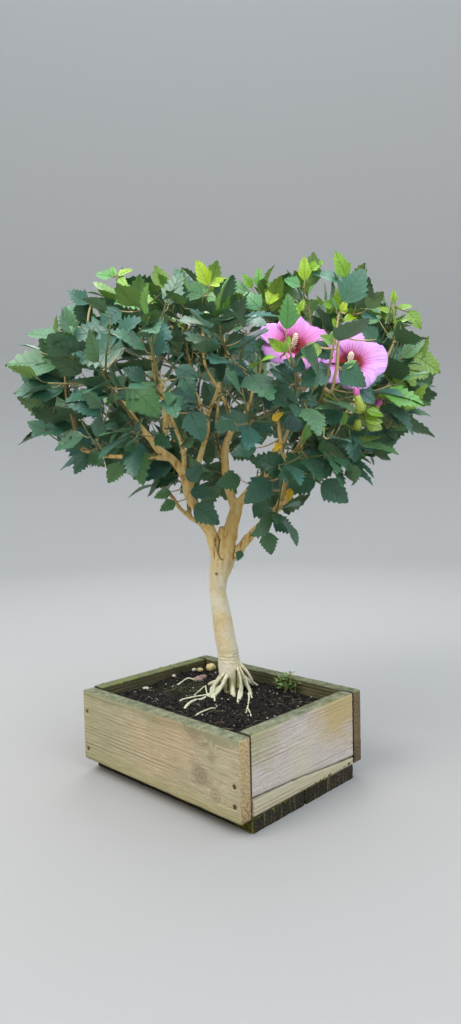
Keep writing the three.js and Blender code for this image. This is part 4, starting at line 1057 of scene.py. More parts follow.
def leaf_that_grew(corners, *rule):
    """The try whose tip is a corner of the CAD spray, if any is."""
    for attempt in range(LEAF_TRIES):
        root, pose = cad_leaf(*rule, attempt)
        neck, across, along, normal, length = pose
        tip = neck + (along - normal * BLADE_DROOP) * length
        if corners.find(tip * MM)[2] < SAME_CORNER:
            return root, pose
    return None


print("tries a leaf:", LEAF_TRIES)

# %% Room for more leaves
CROWN_OUTLINE = [  # across and up, as the camera sees the crown on the upright plane through the trunk
    (-311, 596), (-304, 564), (-281, 486), (-218, 437), (-140, 414), (-90, 384), (-72, 369), (53, 340),
    (90, 351), (170, 378), (279, 462), (294, 518), (308, 572), (285, 635), (252, 672), (175, 728),
    (115, 723), (47, 700), (-24, 720), (-147, 716), (-217, 679), (-275, 631),
]
BLOOM_THROATS = [place((83, -158, 566)), place((152, -160, 544))]
CAMERA_MM = CAMERA_AT * 1000
BOX_LOW, BOX_HIGH = (Vector(corner) * 1000 for corner in cad_box)
PROUD = 8
LEAF_MIDDLE = 0.45
centres = []  # the middles of the leaves that have grown so far


def as_seen(point):
    """Where the camera's line through a point meets the upright plane through the trunk, across and up."""
    line = point - CAMERA_MM
    met = CAMERA_MM + line * ((TRUNK_AT - CAMERA_MM).dot(FACE_AWAY) / line.dot(FACE_AWAY)) - TRUNK_AT
    return met.dot(FACE_RIGHT), met.z


def off_sight(centre, spot):
    """How far along the camera's line to a spot a place lies, as a share, and how far off the line."""
    sight = spot - CAMERA_MM
    nearer = (centre - CAMERA_MM).dot(sight) / sight.length_squared
    return nearer, (centre - CAMERA_MM - sight * nearer).length


def inside(outline, across, up):
    """Whether a place lies within an outline: a level line from it then crosses the outline an odd number of
    times."""
    crossings = 0
    for (u0, z0), (u1, z1) in zip(outline, outline[1:] + outline[:1]):
        if (z0 > up) != (z1 > up) and across < u0 + (u1 - u0) * (up - z0) / (z1 - z0):
            crossings += 1
    return crossings % 2 == 1


def has_room(pose, apart):
    """Whether a leaf stays in the box and the crown's outline, off the flowers and off other leaves."""
    neck, across, along, normal, length = pose
    centre = neck + along * length * LEAF_MIDDLE
    edge = across * length * 0.4
    for point in (neck, neck + along * length, centre + edge, centre - edge):
        if any(point[i] < BOX_LOW[i] - PROUD or point[i] > BOX_HIGH[i] + PROUD for i in range(3)):
            return False
        if not inside(CROWN_OUTLINE, *as_seen(point)):
            return False
    for throat in BLOOM_THROATS:
        nearer, off = off_sight(centre, throat)
        if nearer < 1.08 and off < 40 + length * 0.3 or (centre - throat).length < 44 + length * 0.3:
            return False
    for spot, radius in in_sight:
        nearer, off = off_sight(centre, spot)
        if nearer < 1 and off < radius + length * 0.2:
            return False
    return all((centre - other).length > apart for other in centres)


print("points in the crown's outline:", len(CROWN_OUTLINE))

# %% [markdown]
# ## Leaves and shoots that can be told apart
# The photograph shows 114 leaves that can be told apart: on the long shoot at the far left, at the bright
# tips along the top, in front of the flowers and low by the fork. Each has its neck and its tip here, in
# the crown's axes, and its stalk starts at the nearest wood. Leaves that only fill the crown keep out of
# the way of these, of the flowers and of the places where a limb shows.

# %% Leaves that can be told apart
SEEN_LEAVES = [  # neck, tip, how far the face turns from the camera up to the sky, age, tint
    (-221, -55, 607, -265, -60, 613, 0.55, 0.15, 0.5), (-223, -55, 572, -297, -50, 575, 0.45, 0.1, 0.55),
    (-230, -50, 549, -288, -50, 566, 0.75, 0, 0.4), (-216, -60, 541, -281, -70, 534, 0.5, 0, 0.45),
    (-205, -60, 611, -211, -60, 648, 0.1, 0.1, 0.5), (-209, -50, 488, -264, -60, 479, 0.6, 0, 0.4),
    (-180, -60, 652, -207, -60, 669, 0.2, 0, 0.3), (-130, -110, 630, -155, -120, 610, 0.2, 0, 0.3),
    (-149, -90, 608, -201, -80, 604, 0.35, 0, 0.3), (-123, -130, 580, -182, -120, 565, 0.3, 0, 0.35),
    (-191, -50, 452, -206, -60, 424, 0.1, 0, 0.5), (-186, -55, 452, -165, -60, 433, 0.1, 0.1, 0.6),
    (-143, -60, 437, -161, -60, 411, 0.1, 0.1, 0.7), (-141, -50, 690, -120, -50, 698, 0.5, 0.9, 0.8),
    (-149, -50, 689, -171, -50, 693, 0.4, 0.7, 0.2), (-139, -50, 688, -127, -60, 672, 0.1, 0.9, 0.6),
    (-146, -50, 688, -149, -45, 705, 0.2, 0.9, 0.3), (-120, -60, 656, -143, -75, 646, 0.5, 0.8, 0.1),
    (-120, -60, 656, -80, -60, 655, 0.5, 0.7, 0.7), (-120, -60, 657, -127, -50, 676, 0.2, 0.6, 0.4),
    (-123, -60, 654, -109, -80, 634, 0.3, 0.75, 0.2), (-18, -60, 672, -34, -60, 706, 0.1, 1, 0.95),
    (-16, -60, 672, 11, -60, 679, 0.4, 1, 0.9), (9, -60, 673, 37, -60, 660, 0.5, 0.2, 0.6),
    (-26, -70, 657, -60, -70, 667, 0.3, 0.2, 0.5), (-21, -60, 658, -1, -70, 650, 0.3, 0.4, 0.5),
    (40, -60, 667, 28, -60, 686, 0.1, 0.9, 0.5), (59, -90, 638, 72, -80, 666, 0.1, 1, 0.9),
    (49, -90, 632, 28, -80, 657, 0.2, 0.5, 0.1), (83, -100, 635, 99, -110, 615, 0.2, 0.85, 0.7),
    (48, -60, 669, 50, -60, 694, 0.1, 0.8, 0.3), (77, -80, 658, 58, -80, 668, 0.3, 0.5, 0.6),
    (111, -60, 675, 110, -60, 707, 0.05, 1, 0.8), (116, -60, 689, 137, -60, 701, 0.3, 1, 0.6),
    (164, -60, 671, 120, -60, 686, 0.6, 0.1, 0.3), (103, -70, 667, 82, -70, 675, 0.3, 0.6, 0.1),
    (167, -60, 677, 152, -60, 713, 0.05, 0.85, 0.6), (154, -110, 620, 172, -110, 635, 0.2, 1, 0.9),
    (150, -130, 606, 175, -130, 614, 0.5, 1, 0.8), (199, -110, 610, 175, -110, 623, 0.3, 0.6, 0.15),
    (232, -50, 645, 231, -50, 663, 0.1, 1, 0.7), (238, -40, 639, 260, -40, 643, 0.5, 0.8, 0.7),
    (253, -40, 636, 271, -40, 612, 0.4, 0.55, 0.8), (224, -60, 631, 208, -60, 637, 0.4, 0.8, 0.8),
    (245, -50, 579, 266, -50, 580, 0.5, 0.75, 0.2), (262, -40, 575, 297, -40, 552, 0.3, 0.5, 0.8),
    (248, -45, 558, 280, -45, 546, 0.3, 0.35, 0.9), (228, -90, 560, 198, -90, 573, 0.3, 0.1, 0.4),
    (260, -45, 524, 282, -45, 507, 0.3, 0.2, 0.6), (225, -70, 534, 242, -80, 514, 0.1, 0.7, 0.3),
    (224, -70, 549, 257, -70, 533, 0.3, 0.45, 0.9), (237, -70, 592, 216, -70, 600, 0.4, 0.2, 0.4),
    (112, -205, 561, 87, -208, 550, 0.3, 0.3, 0.9), (103, -200, 566, 125, -205, 548, 0.2, 0, 0.35),
    (93, -205, 536, 69, -205, 548, 0.3, 0, 0.35), (63, -170, 557, 37, -170, 573, 0.2, 0.3, 0.3),
    (122, -200, 538, 89, -205, 518, 0.15, 0.05, 0.3), (86, -190, 529, 54, -190, 540, 0.3, 0, 0.3),
    (134, -205, 538, 161, -212, 515, 0.15, 0.05, 0.35), (128, -208, 565, 111, -208, 574, 0.3, 0.5, 0.7),
    (180, -185, 572, 161, -190, 587, 0.2, 0.1, 0.3), (131, -208, 582, 125, -208, 593, 0.1, 0.9, 0.7),
    (132, -208, 576, 142, -210, 581, 0.3, 0.6, 0.7), (69, -205, 557, 52, -200, 574, 0.2, 0.9, 0.8),
    (71, -205, 557, 76, -205, 575, 0.1, 0.9, 0.6), (138, -205, 536, 152, -205, 546, 0.6, 0.6, 0.6),
    (-118, -130, 532, -80, -140, 493, 0.05, 0.3, 0.4), (-122, -100, 458, -108, -105, 408, 0.05, 0.1, 0.7),
    (-59, -140, 551, -32, -150, 537, 0.4, 0.1, 0.1), (-50, -150, 540, -37, -160, 512, 0.1, 0.15, 0.1),
    (143, -190, 492, 105, -190, 495, 0.7, 0.5, 0.1), (139, -180, 492, 109, -185, 475, 0.2, 0, 0.3),
    (155, -150, 463, 158, -155, 430, 0.05, 0.05, 0.2), (75, -120, 421, 40, -130, 438, 0.2, 0.05, 0.4),
    (38, -130, 451, 6, -130, 445, 0.4, 0.05, 0.3), (135, -110, 432, 95, -110, 432, 0.4, 0, 0.4),
    (138, -95, 425, 118, -95, 413, 0.2, 0.1, 0.3), (127, -80, 406, 161, -80, 378, 0.1, 0.05, 0.35),
    (116, -90, 409, 79, -90, 394, 0.2, 0.05, 0.4), (57, -90, 410, 23, -95, 381, 0.1, 0.0, 0.35),
    (36, -60, 379, 63, -65, 353, 0.1, 0.0, 0.5), (63, -60, 357, 89, -60, 338, 0.1, 0, 0.45),
    (54, -50, 338, 59, -50, 307, 0.1, 0.05, 0.6), (18, -22, 310, 12, -30, 297, 0.1, 0, 0.6),
    (18, -60, 412, -15, -70, 405, 0.2, 0.05, 0.6), (-79, -35, 397, -101, -40, 389, 0.2, 0.1, 0.7),
    (-74, -20, 382, -95, -25, 370, 0.2, 0.1, 0.7), (-50, -40, 397, -18, -45, 389, 0.3, 0, 0.4),
    (-45, -35, 377, -12, -35, 350, 0.1, 0, 0.5), (-53, -60, 412, -34, -70, 431, 0.1, 0, 0.4),
    (-92, -90, 471, -71, -100, 455, 0.1, 0.2, 0.3), (-44, -120, 499, -28, -130, 461, 0.1, 0.05, 0.15),
    (31, -150, 485, 57, -160, 469, 0.2, 0, 0.3), (2, -140, 594, -13, -145, 577, 0.2, 0, 0.2),
    (21, -150, 582, 47, -155, 568, 0.3, 0, 0.2), (89, -180, 510, 109, -190, 497, 0.2, 0, 0.3),
    (45, -170, 512, 67, -175, 502, 0.3, 0, 0.25), (10, -150, 555, 31, -160, 537, 0.2, 0, 0.2),
    (-91, -130, 588, -66, -135, 572, 0.3, 0.05, 0.2), (169, -172, 491, 190, -172, 484, 0.4, 1, 0.6),
    (168, -168, 481, 190, -168, 477, 0.3, 0.8, 0.8), (160, -176, 514, 179, -176, 499, 0.3, 0, 0.05),
    (141, -172, 491, 142, -172, 474, 0.2, 0.6, 0.6), (173, -150, 477, 193, -150, 470, 0.3, 0.7, 0.9),
    (164, -186, 499, 163, -186, 489, 0.3, 1, 0.7), (56, -197, 517, 86, -199, 496, 0.15, 0, 0.5),
    (95, -88, 621, 89, -88, 638, 0.1, 1, 0.9), (99, -88, 628, 106, -88, 644, 0.1, 1, 0.7),
    (79, -88, 639, 94, -88, 624, 0.3, 1, 0.8), (144, -150, 613, 152, -150, 628, 0.1, 1, 1),
    (170, -140, 614, 190, -140, 606, 0.4, 0.1, 0), (55, -196, 480, 68, -200, 489, 0.2, 1, 2),
    (83, -100, 399, 79, -103, 381, 0.1, 1, 2), (66, -172, 455, 56, -176, 444, 0.2, 1, 2),
]
print("leaves that can be told apart:", len(SEEN_LEAVES))

# %% Shoots, bare wood and young areas
SEEN_STEMS = [  # points, radius, age
    ([(-200, -48, 460), (-209, -50, 498), (-216, -52, 534), (-214, -55, 589), (-214, -55, 617)], 1.6, 0.2),
    ([(-214, -55, 614), (-220, -56, 624)], 1.0, 0.8),
    ([(-214, -55, 612), (-212, -55, 628)], 1.0, 0.8),
    ([(-216, -55, 605), (-224, -56, 621)], 1.0, 0.7),
    ([(-124, -60, 651), (-132, -55, 667), (-144, -50, 690)], 1.2, 0.8),
    ([(-185, -62, 620), (-179, -61, 640), (-174, -60, 659)], 1.5, 0.2),
    ([(-23, -60, 631), (-21, -60, 653), (-18, -60, 672)], 1.3, 0.75),
    ([(109, -60, 655), (111, -60, 676), (115, -60, 690)], 1.2, 0.8),
    ([(166, -60, 644), (167, -60, 677)], 0.9, 0.6),
    ([(231, -55, 629), (231, -50, 646)], 1.1, 0.7),
    ([(124, -195, 512), (128, -205, 530), (130, -208, 544), (131, -208, 581)], 2.0, 0.1),
    ([(95, -190, 517), (80, -203, 537), (71, -205, 556)], 1.5, 0.1),
    ([(206, -120, 559), (211, -120, 571), (216, -118, 582)], 1.7, 0.1),
    ([(245, -50, 579), (234, -60, 570)], 1.1, 0.4),
]
BARE_WOOD = [  # places where a limb shows, and a radius
    (-121, 0, 616, 8), (-111, -5, 595, 8), (-102, -8, 569, 9), (-97, -12, 543, 9), (-147, -50, 575, 7),
    (-135, -50, 561, 7), (-146, -52, 539, 7), (-142, -50, 521, 7), (-129, -46, 506, 8), (-118, -42, 483, 9),
    (-91, -37, 457, 10), (-81, -32, 445, 11), (-68, -30, 435, 12), (-57, -25, 415, 12), (-55, -20, 399, 11),
    (-85, -25, 497, 7), (-86, -20, 511, 7), (-80, 16, 637, 6), (-66, 14, 622, 7), (-55, 12, 604, 7),
    (-37, 8, 531, 8), (-26, 4, 509, 8), (-25, 4, 492, 7), (-33, 0, 472, 7), (-33, 0, 459, 7),
    (-13, 25, 551, 8), (-4, 28, 533, 9), (7, 30, 506, 9), (12, 30, 491, 8), (26, 33, 506, 7),
    (35, 38, 523, 7), (48, 45, 561, 6), (-3, 25, 462, 6), (-2, 22, 444, 6), (69, -30, 472, 7),
    (61, -28, 458, 7), (106, -30, 475, 8), (87, -22, 444, 8), (98, -25, 451, 8), (1, 3, 331, 14),
    (7, 5, 353, 12), (-33, -8, 354, 12), (-24, -3, 325, 12), (87, -42, 388, 7), (75, -35, 374, 7),
    (34, -15, 335, 10), (48, -25, 348, 9), (-67, 20, 365, 7), (-47, 12, 350, 7), (-113, 50, 413, 6),
    (-214, -50, 511, 7), (-212, -50, 498, 7),
]
SEEN_BUDS = [(157, -200, 497, 13), (164, -156, 474, 11), (184, -154, 494, 8)]
LIME_AREAS = [  # where most leaves are young: across and up, as the camera sees them, and a radius
    (-152, 706, 15), (-128, 673, 21), (-99, 670, 14), (-23, 707, 15), (-7, 689, 13), (-45, 677, 9),
    (52, 695, 14), (68, 674, 23), (101, 651, 18), (123, 712, 17), (171, 713, 17), (179, 651, 22),
    (206, 640, 13), (246, 666, 11), (262, 643, 22), (285, 576, 19), (251, 535, 18), (208, 503, 20),
    (43, 661, 13), (227, 642, 13), (84, 608, 12),
]
in_sight = [(place(spot[:3]), spot[3]) for spot in BARE_WOOD + SEEN_BUDS]
for leaf in SEEN_LEAVES:
    neck, tip = place(leaf[:3]), place(leaf[3:6])
    in_sight.append((neck.lerp(tip, 0.5), 0.22 * (tip - neck).length))
print("shoots:", len(SEEN_STEMS), "places kept in sight:", len(in_sight))


# %% Stamping leaves and stems
def stamp(bm, number, pose, tint, curl):
    """Puts one leaf into a mesh: a blade turned into its pose and curled."""
    neck, across, along, normal, length = pose
    start = len(bm.verts)
    bm.from_mesh(blades[number])
    bm.verts.ensure_lookup_table()
    layer = bm.verts.layers.float_vector["tint"]
    fresh = bm.verts[start:]
    for vert in fresh:
        vert.co.z -= curl * vert.co.y * vert.co.y
        vert[layer] = tint
    turn = Matrix((across, along, normal)).transposed().to_4x4()
    bmesh.ops.transform(bm, matrix=Matrix.Translation(neck) @ turn @ Matrix.Scale(length, 4), verts=fresh)


def stem_tube(bm, path, radii, sides, age):
    """A green or woody stem, marked as one for the foliage finish."""
    start = len(bm.verts)
    tube(bm, path, radii, sides)
    bm.verts.ensure_lookup_table()
    layer = bm.verts.layers.float_vector["tint"]
    for vert in bm.verts[start:]:
        vert[layer] = (age, 0.5, 1.0)


def cutting():
    """An empty mesh for leaves and stems."""
    bm = bmesh.new()
    bm.loops.layers.uv.new("blade")
    bm.verts.layers.float_vector.new("tint")
    return bm


def graft(bm, part):
    """Adds a small mesh to a large one. An operator walks its whole mesh, so small parts grow much faster."""
    mesh = bpy.data.meshes.new("graft")
    part.to_mesh(mesh)
    part.free()
    bm.from_mesh(mesh)
    bpy.data.meshes.remove(mesh)


def add_leaf(bm, root, pose, young, draw):
    """A leaf on its stalk, greener, bluer or yellower with its age and its side of the crown."""
    neck, across, along, normal, length = pose
    elbow = root.lerp(neck, 0.5) - normal * 0.06 * length
    path = [root, elbow, neck, neck + along * 0.03 * length]
    stem_tube(bm, path, [0.9, 0.7, 0.7, 0.5], 4, 0.3 + 0.7 * young)
    number = YOUNG_BLADE if young > 0.75 else int(draw() * YOUNG_BLADE)
    warm = 0.5 + (root - TRUNK_AT).dot(FACE_RIGHT) / 600
    age = max(0.0, young - 0.25) * 1.3
    u, z = as_seen(neck + along * 0.5 * length)
    if any(math.hypot(u - across, z - up) < radius for across, up, radius in LIME_AREAS):
        age = max(age, 0.45 + 0.55 * lime_draw())
    stamp(bm, number, pose, (age, draw() * 0.7 + warm * warm * 0.3, 0.0), 0.10 * (draw() - 0.3))


lime_draw = drawer(503)
leaf_count = {"cad": 0, "seen": 0, "side": 0, "spur": 0, "tip": 0}
print("a leaf has", sum(len(polygon.vertices) - 2 for polygon in blades[0].polygons), "triangles")

# %% Side twigs and tips
SIDE_STALK = 11
SIDE_APART = 11
TIP_STALK = 4
TIP_APART = 6
TIP_MIDDLE = 12


def settle(part, root, pose, centre, apart, young, draw):
    """Adds a leaf if there is room for it, and says how many grew."""
    if not has_room(pose, apart):
        return 0
    centres.append(centre)
    add_leaf(part, root, pose, young, draw)
    return 1


def high_up(spot, low, least):
    """How bright a young leaf gets by its height in the crown."""
    return max(least, min(1.0, (spot.z - low) / 90))


def leafy_side_twig(bm, start, along, long, leaves, draw, turn):
    """A side twig with leaves all along it and young ones at its tip."""
    outward = (start - HEART).normalized()
    reach = (around(along, turn) * 0.8 + along * 0.55 + outward * 0.35 + UP * 0.15).normalized()
    tip = start + reach * long
    bend = start.lerp(tip, 0.5) - UP * 0.07 * long + outward * 0.07 * long
    path = bow(start, bend, tip, 5)
    way = (tip - start).normalized()
    part, grew = cutting(), 0
    for k in range(leaves):
        t = 0.3 + 0.7 * (k + 1) / leaves
        root = path[0].lerp(bend, t).lerp(bend.lerp(tip, t), t)
        out = around(way, GOLDEN_TURN * k + 6.28 * draw())
        young = t ** 4 * (0.5 + 0.5 * draw())
        stem = (out * (0.85 - 0.3 * young) + way * (0.45 + 0.5 * young) + outward * 0.3).normalized()
        length = (50 - 20 * young) * (0.7 + 0.4 * draw())
        pose = hang(root, stem, outward, length, draw, young, SIDE_STALK)
        centre = pose[0] + pose[2] * length * LEAF_MIDDLE
        grew += settle(part, root, pose, centre, SIDE_APART, young * high_up(root, 560, 0.25), draw)
    if grew:
        stem_tube(part, path, [1.4, 1.3, 1.2, 1.1, 1.0, 0.8], 5, 0.9)
    graft(bm, part)
    return grew


def leafy_tip(bm, twig, draw):
    """Three young leaves round the end of a twig."""
    along = (twig[2] - twig[1]).normalized()
    part, grew = cutting(), 0
    for k in range(3):
        out = around(along, 2.1 * k + 6.28 * draw())
        stem = (out * 0.7 + along * 0.8).normalized()
        pose = hang(twig[2], stem, along, 22 + 16 * draw(), draw, 1, TIP_STALK)
        centre = pose[0] + pose[2] * TIP_MIDDLE
        grew += settle(part, twig[2], pose, centre, TIP_APART, high_up(twig[2], 540, 0.2), draw)
    graft(bm, part)
    return grew


print("stalks:", SIDE_STALK, "mm on side twigs,", TIP_STALK, "mm at tips")


# %% Shoots that can be told apart
LONG_STALK = 25


def seen_pose(neck, tip, tilt):
    """A leaf's pose from its neck and tip, with its face between the camera and the sky."""
    reach = tip - neck
    facing = (CAMERA_MM - neck).normalized() * (1 - tilt) + UP * tilt
    lift = facing - reach * (facing.dot(reach) / reach.length_squared)
    along = (reach.normalized() + lift.normalized() * BLADE_DROOP).normalized()
    normal = (facing - along * facing.dot(along)).normalized()
    return neck, along.cross(normal), along, normal, reach.length


def grow_seen_shoots():
    """The stems and leaves of the tables, each rooted at the nearest wood."""
    spots = [spot for points, first, last in LIMBS.values() for spot in limb_path(points, first, last)[0]]
    for limb, at, tips, leaves, *bend in SPRAYS.values():
        spots += [spot for twig in twigs_of(limb, at, tips, *bend) for spot in bow(*twig, 16)]

    def nearest(point):
        return min(spots, key=lambda spot: (spot - point).length_squared)

    bm, draw = cutting(), drawer(97)
    reaches = []
    for points, radius, age in SEEN_STEMS:
        points = [place(point) for point in points]
        radii = [radius * 1.25] + [radius] * (len(points) - 1) + [radius * 0.6]
        path = curve_through([nearest(points[0])] + points, radii)
        reaches.append((points[0] - path[0][0]).length)
        stem_tube(bm, *path, 7, age)
        spots += path[0][2:]
    for *ends, tilt, age, tint in SEEN_LEAVES:
        pose = seen_pose(place(ends[:3]), place(ends[3:]), tilt)
        root = nearest(pose[0])
        gap = (pose[0] - root).length
        reaches.append(gap)
        bend = root.lerp(pose[0], 0.55) - UP * 0.12 * gap - pose[3] * 0.05 * gap
        path = bow(root, bend, pose[0] + pose[2] * 0.03 * pose[4], 5)
        part = cutting()
        stem_tube(part, path, [1.4 if gap > LONG_STALK else 1.0, 1.1, 1, 0.9, 0.8, 0.5], 5, age)
        number = YOUNG_BLADE if age > 0.7 else int(draw() * YOUNG_BLADE)
        stamp(part, number, pose, (age, tint, 0.0), 0.06 * draw())
        graft(bm, part)
        centres.append(pose[0] + pose[2] * pose[4] * LEAF_MIDDLE)
        leaf_count["seen"] += 1
    print("longest stalks:", sorted(round(reach) for reach in reaches)[-12:], "mm")
    return bm


seen_shoots = grow_seen_shoots()

# %% Sprays where the CAD model has them
def grow_spray(name, seed, limb, at, tips, leaves, bend=None):
    """The twigs of one spray with the CAD model's own leaves."""
    node = NODES["spray_" + name]
    corners = KDTree(len(node.data.vertices))
    for i, vert in enumerate(node.data.vertices):
        corners.insert(vert.co, i)
    corners.balance()
    bm = cutting()
    twigs = twigs_of(limb, at, tips, bend)
    draw = drawer(seed * 7919)
    for i, twig in enumerate(twigs):
        radii = [(1.9 if i else 2.2) * (1 - k / 9) + 1.2 * k / 9 for k in range(10)]
        stem_tube(bm, bow(*twig, 9), radii, 7, 0.6)
    for index in range(leaves * len(twigs)):
        grown = leaf_that_grew(corners, seed, twigs, leaves, index)
        if grown:
            root, pose = grown
            centres.append(pose[0] + pose[2] * pose[4] * LEAF_MIDDLE)
            share = FIRST_LEAF + (1 - FIRST_LEAF) * (index // len(twigs) + 1) / leaves
            part = cutting()
            add_leaf(part, root, pose, share ** 4 * draw(), draw)
            graft(bm, part)
            leaf_count["cad"] += 1
    return bm, twigs, draw


sprays = {name: grow_spray(name, seed, *spec) for seed, (name, spec) in enumerate(SPRAYS.items(), 1)}
print("sprays:", len(sprays), "with", leaf_count["cad"], "leaves")

# %% Filling the crown
SIDE_TWIGS = 3
SPUR_EVERY = 15
SPURS_ABOVE = 395


def grow_spurs():
    """Short leafy spurs all along the limbs, above the bare fork."""
    bm, draw = cutting(), drawer(131)
    for points, first, last in LIMBS.values():
        path = limb_path(points, first, last)[0]
        walked = 0.0
        for a, b in zip(path, path[1:]):
            walked += (b - a).length
            if walked > SPUR_EVERY and b.z > SPURS_ABOVE:
                walked = 0.0
                long, leaves, turn = 14 + 30 * draw(), 3 + int(2 * draw()), 6.28 * draw()
                leaf_count["spur"] += leafy_side_twig(bm, b, (b - a).normalized(), long, leaves, draw, turn)
    return bm


for bm, twigs, draw in sprays.values():
    leaf_count["tip"] += sum(leafy_tip(bm, twig, draw) for twig in twigs)
for order in range(SIDE_TWIGS):
    for bm, twigs, draw in sprays.values():
        for twig in twigs:
            start, along = on_twig(bow(*twig, TWIG_STEPS), 0.28 + 0.27 * order + 0.12 * draw())
            long, turn = 42 + 46 * draw(), 2.3 * order + 6.28 * draw()
            leaves = 4 + int(3 * draw())
            leaf_count["side"] += leafy_side_twig(bm, start, along, long, leaves, draw, turn)
spurs = grow_spurs()
print("leaves:", leaf_count)

# %% Pieces of the crown
for name, (bm, twigs, draw) in sprays.items():
    piece_of("leafy_" + name, in_metres(bm), foliage_material, ["spray_" + name])
piece_of("seen_shoots", in_metres(seen_shoots), foliage_material)
piece_of("limb_spurs", in_metres(spurs), foliage_material)
print("pieces of the crown:", len(sprays) + 2)

# %% [markdown]
# ## Open flowers
# Each flower has five thin petals that overlap like a pinwheel round a small hub. They cup, tilt and wave
# as in the CAD model; a finer grid adds the crimped rim. The eye is crimson and bleeds outwards in fine
# streaks along the veins, and the pink fades towards the rim.

# %% Petal shape
PETALS = 5
PETAL_RADIUS = 44
PETAL_FOOT = 0.1
PETAL_THICKNESS = 0.6
PETAL_ROWS = [(0.1, 0.3), (0.42, 0.8), (0.78, 0.88), (1.0, 0.6)]
HUB_RADIUS, HUB_LOW, HUB_HIGH = 6, -1.5, 1.5
BLOOMS = {
    "left": ((83, -158, 566), (0.12, -0.8, 0.56), "bloom_left"),
    "right": ((152, -160, 544), (-0.06, -0.84, 0.5), "bloom_right"),
}


def half_turn(share):
    """Half the turn a petal spans at a share of its radius."""
    for (s0, h0), (s1, h1) in zip(PETAL_ROWS, PETAL_ROWS[1:]):
        if share <= s1:
            t = max(0.0, (share - s0) / (s1 - s0))
            return h0 + (h1 - h0) * t * t * (3 - 2 * t)
    return PETAL_ROWS[-1][1]


def petal_shares(spot):
    """A place on a flat grid, as a share across the petal from -1 to 1 and a share of its radius."""
    return 2 * spot.x, PETAL_FOOT + (1 - PETAL_FOOT) * (spot.y + 0.5)


def petal_surface(k, c, s):
    """Where a petal lies at a share across it and a share of its radius."""
    reach = PETAL_RADIUS * s * (1 - 0.12 * c * c * s)
    turn = 2 * math.pi * k / PETALS + half_turn(s) * c
    wave = 1.8 * s * s * math.sin(4 * c + k) + 0.9 * s ** 3 * math.sin(13 * c + 2.3 * k)
    crimp = 0.45 * s ** 4 * math.sin(31 * c + k) + 0.35 * s * math.sin(17 * c + 9 * s)
    rise = 15 * math.sin(1.9 * s) + 4.5 * c * s ** 0.7 + wave + crimp
    return reach * math.cos(turn), reach * math.sin(turn), rise


print("a petal's rim spans", round(math.degrees(2 * half_turn(1.0))), "degrees")


# %% Petal finish
def petal_finish(name, wash, inner, middle, rim):
    """A petal: a dark eye that bleeds outwards in streaks, and a pink that pales to the rim."""
    petal = Finish(name, Roughness=0.55)
    across_petal, along_petal, _ = petal.uv("petal")
    veil = petal.speckle(petal.object_point(), 70.0, 3.0)
    streaks = (across_petal * 34.0 + veil * 4.0).sine() * 0.5 + 0.5
    fine_streaks = (across_petal * 83.0 + veil * 7.0).sine() * 0.5 + 0.5
    pink = petal.ramp(along_petal + (veil - 0.5) * 0.3, (0, wash), (0.34, inner), (0.62, middle), (1, rim))
    pink = petal.mix(pink, wash, streaks * fine_streaks * along_petal.rise(0.95, 0.25) * 0.5)
    pink = petal.mix(pink, tone(176, 30, 92), (along_petal - streaks * 0.16).rise(0.46, 0.3) * 0.5)
    eye = (along_petal - streaks * 0.08).rise(0.37, 0.27)
    colour = petal.mix(pink, tone(142, 0, 22), eye)
    return petal.finish(colour, 0.5 + veil * 0.2, streaks * 0.5 + fine_streaks * 0.5, depth=0.0004)


LEFT_PINKS = tone(202, 68, 146), tone(216, 108, 180), tone(220, 134, 202), tone(214, 152, 222)
RIGHT_PINKS = tone(198, 76, 158), tone(216, 130, 204), tone(220, 158, 224), tone(216, 168, 230)
petal_materials = {
    "left": petal_finish("pink_petal", *LEFT_PINKS),
    "right": petal_finish("lilac_petal", *RIGHT_PINKS),
}
print("petal finishes:", list(petal_materials))


# %% Rings of petals
def bloom_axes(throat, facing):
    """A matrix from a bloom's own axes, with its face along Z, to the planter's."""
    out = heading(*facing).normalized()
    side = square_to(out)
    return Matrix.Translation(place(throat)) @ Matrix((side, out.cross(side), out)).transposed().to_4x4()


def petals_of(name, throat, facing):
    """A flower's petals, each a bent grid, round their hub."""
    bm = bmesh.new()
    layer = bm.loops.layers.uv.new("petal")
    hub = bmesh.ops.create_cone(bm, cap_ends=True, segments=20, radius1=HUB_RADIUS, radius2=HUB_RADIUS * 0.9,
                                depth=HUB_HIGH - HUB_LOW)["verts"]
    lay_uv({face for vert in hub for face in vert.link_faces}, layer, lambda spot: (0.0, 0.05))
    for k in range(PETALS):
        grid = bmesh.ops.create_grid(bm, x_segments=18, y_segments=14, size=0.5)["verts"]
        faces = list({face for vert in grid for face in vert.link_faces})
        lay_uv(faces, layer, petal_shares)
        for vert in grid:
            vert.co = petal_surface(k, *petal_shares(vert.co))
        bmesh.ops.solidify(bm, geom=faces, thickness=PETAL_THICKNESS)
    bmesh.ops.transform(bm, matrix=bloom_axes(throat, facing), verts=bm.verts)
    return piece_of("petals_" + name, in_metres(bm), petal_materials[name], ["corolla_" + name])


for name, (throat, facing, _) in BLOOMS.items():
    petals_of(name, throat, facing)

# %% [markdown]
# ## Stamen columns
# The stamens of a hibiscus have grown together into one pale column that stands out of the throat. Dozens
# of small anthers on short stalks ring its outer half, and five round stigmas stand at its tip.

# %% Stamens
COLUMN_FOOT = HUB_HIGH + 0.3
COLUMN_LENGTH = 24
COLUMN_RINGS = [(0, 2.2), (0.25, 1.7), (0.5, 1.5), (0.75, 1.3), (0.93, 0.9)]  # share of the length, radius
ANTHERS = 52
STIGMAS = 5
STIGMA_TURN = 1.257
stamen_material = grained("stamen", (700.0, 3.0), (0, tone(238, 214, 166)), (0.5, tone(252, 244, 220)),
                          (1, tone(255, 252, 240)), Roughness=0.7)


